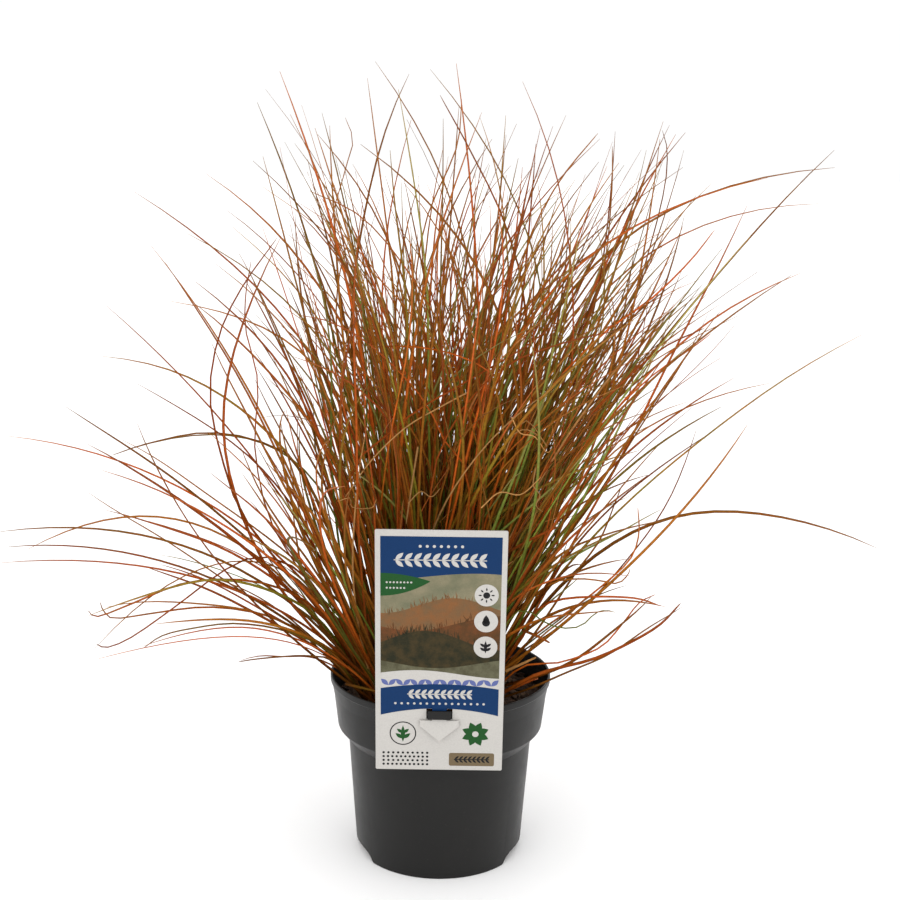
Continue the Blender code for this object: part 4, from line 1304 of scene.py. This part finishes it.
def print_label(card):
    """A plain design of blue bands, layered hills and small leaf ornaments."""
    side = CARD_WIDTH / 2 - BORDER
    print_picture(card, side)
    card.band(-side, side, lambda x: 126 + 2.5 * math.sin(x / 20 + 0.5), lambda x: 151, BLUE, 2.4)
    card.spray(-27, 26, 136.5, 6.4, 2.6, WHITE, 3)
    card.dots(-12, 12, 145, 7, 0.9, WHITE, 3)
    card.band(
        -side,
        -6.3,
        lambda x: 114 + 0.0112 * (x + side) ** 2,
        lambda x: 128.3 - 0.0061 * (x + side) ** 2,
        GREEN,
        2.7,
    )
    card.dots(-31, -17, 122.5, 8, 0.6, WHITE, 3)
    card.dots(-31, -21, 119, 6, 0.6, WHITE, 3)
    print_icons(card)
    card.band(-side, side, lambda x: 52, lambda x: 64 + 2.5 * math.sin(x / 16 + 2.4), WHITE, 2.4)
    for i in range(8):
        x = -side + 4.6 + 8.6 * i
        for angle in (LEAF_SPLAY, math.pi - LEAF_SPLAY):
            card.leaf(x, 56.5, 6, 2.9, angle, VIOLET, 2.8)
    card.band(
        -side,
        side,
        lambda x: 41.4 - 4.6 * (x / side) ** 2,
        lambda x: 57.5 - 3 * (x / side) ** 2,
        BLUE,
        3.2,
    )
    card.spray(-19, 19, 50.8, 4.6, 1.9, WHITE, 3.8)
    card.dots(-26, 26, 44.6, 15, 0.75, WHITE, 3.8)
    print_foot(card)


def build_label():
    """The card with its window round the bar, and the tongue that hangs down in front of it."""
    window_low = BAR_TOP - BAR_HEIGHT - WINDOW_MARGIN
    window_high = BAR_TOP + WINDOW_MARGIN
    up_card = 1 / math.cos(CARD_LEAN)
    shape = bmesh.new()
    low = (window_low - CARD_BOTTOM) * up_card
    high = (window_high - CARD_BOTTOM) * up_card
    outline = rounded_box(0, CARD_HEIGHT / 2, CARD_WIDTH, CARD_HEIGHT, CARD_CORNER)
    add_plate(shape, outline, (WINDOW_WIDTH / 2, low, high))
    print_label(Print(shape))
    foot = Matrix.Translation(Vector((0, CARD_FOOT_Y, CARD_BOTTOM)) * MM)
    leaning = foot @ Matrix.Rotation(math.pi / 2 + CARD_LEAN, 4, "X")
    bmesh.ops.transform(shape, matrix=leaning, verts=shape.verts)
    tongue = bmesh.new()
    add_plate(tongue, tongue_outline(window_low, window_high))
    half, low, high = NECK_WIDTH / 2, BAR_TOP - PRINTED_NECK, window_high + TONGUE_ROOT
    Print(tongue).polygon([(-half, low), (half, low), (half, high), (-half, high)], BLUE)
    upright = Matrix.Translation(Vector((0, TONGUE_Y, 0)) * MM) @ Matrix.Rotation(math.pi / 2, 4, "X")
    bmesh.ops.transform(tongue, matrix=upright, verts=tongue.verts)
    tongue_mesh = to_mesh(tongue, "tongue")
    shape.from_mesh(tongue_mesh)
    bpy.data.meshes.remove(tongue_mesh)
    label = finished("plant_label", to_mesh(shape, "plant_label"), *label_inks())
    return on_frame(label, "label_card", "label")


def tongue_outline(window_low, window_high):
    shoulder = window_low - ARROW_DROP
    arrow, neck = ARROW_WIDTH / 2, NECK_WIDTH / 2
    half = [
        (neck, window_high + TONGUE_ROOT),
        (neck, shoulder),
        (arrow, shoulder),
        (arrow, shoulder - ARROW_SHOULDER),
    ]
    return [(-x, z) for x, z in half] + [(0, shoulder - ARROW_HEIGHT)] + half[::-1]


def add_plate(shape, outline, window=None):
    """A flat plate in the local XY plane, with a window (half width, bottom, top) if one is given."""
    curve = bpy.data.curves.new("plate", "CURVE")
    curve.dimensions = "2D"
    curve.fill_mode = "BOTH"
    curve.extrude = CARD_THICKNESS / 2 * MM
    outlines = [outline]
    if window:
        half, low, high = window
        outlines.append([(half, high), (-half, high), (-half, low), (half, low)])
    for points in outlines:
        spline = curve.splines.new("POLY")
        spline.points.add(len(points) - 1)
        for point, (x, y) in zip(spline.points, points):
            point.co = (x * MM, y * MM, 0, 1)
        spline.use_cyclic_u = True
    flat = bpy.data.objects.new("plate", curve)
    bpy.context.scene.collection.objects.link(flat)
    bpy.context.view_layer.update()
    graph = bpy.context.evaluated_depsgraph_get()
    mesh = bpy.data.meshes.new_from_object(flat.evaluated_get(graph), depsgraph=graph)
    bpy.data.objects.remove(flat, do_unlink=True)
    shape.from_mesh(mesh)
    bmesh.ops.remove_doubles(shape, verts=shape.verts, dist=0.000001)
    bmesh.ops.recalc_face_normals(shape, faces=shape.faces)
    bpy.data.meshes.remove(mesh)


def build_camera():
    camera = bpy.data.cameras.new("camera")
    camera.lens, camera.sensor_width = FOCAL_LENGTH, SENSOR
    obj = bpy.data.objects.new("camera", camera)
    pitched = Matrix.Rotation(math.pi / 2 - CAMERA_PITCH, 4, "X")
    obj.matrix_world = Matrix.Translation(CAMERA_PLACE) @ pitched @ Matrix.Rotation(CAMERA_ROLL, 4, "Z")
    bpy.context.scene.collection.objects.link(obj)
    bpy.context.scene.camera = obj


# Lights: place, the width of the lit square, and watts
LIGHTS = (
    ("key", (-0.9, -1.5, 1.3), 1.2, 7),
    ("fill", (1.2, -1.3, 0.8), 1.2, 4),
)
LIT_POINT = (0, 0, 0.22)
OVERHEAD, OVERHEAD_SPREAD = 0.9, math.radians(100)
WORLD_STRENGTH = 1.02
FLOOR_SIZE = 40.0


def build_studio():
    for name, place, width, watts in LIGHTS:
        lamp = bpy.data.lights.new(name, "AREA")
        lamp.size, lamp.energy = width, watts
        obj = bpy.data.objects.new(name, lamp)
        obj.location = place
        obj.rotation_euler = (Vector(LIT_POINT) - Vector(place)).to_track_quat("-Z", "Y").to_euler()
        bpy.context.scene.collection.objects.link(obj)
    overhead = bpy.data.lights.new("overhead", "SUN")
    overhead.energy, overhead.angle = OVERHEAD, OVERHEAD_SPREAD
    bpy.context.scene.collection.objects.link(bpy.data.objects.new("overhead", overhead))
    world = bpy.data.worlds.new("studio")
    world.use_nodes = True
    world.node_tree.nodes["Background"].inputs["Color"].default_value = (1, 1, 1, 1)
    world.node_tree.nodes["Background"].inputs["Strength"].default_value = WORLD_STRENGTH
    bpy.context.scene.world = world
    shape = bmesh.new()
    bmesh.ops.create_grid(shape, x_segments=1, y_segments=1, size=FLOOR_SIZE / 2)
    made = Nodes("floor", 0.7, 0.1)
    made.surface("Base Color", (0.95, 0.95, 0.95, 1))
    finished("floor", to_mesh(shape, "floor"), made.material)
    view = bpy.context.scene.view_settings
    view.view_transform = "Standard"
    view.look = "None"


def clear_scene():
    for obj in list(bpy.data.objects):
        bpy.data.objects.remove(obj, do_unlink=True)


clear_scene()
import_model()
build_camera()
build_studio()
build_pot()
build_mix()
build_crumbs()
build_crown()
build_blades()
build_label()
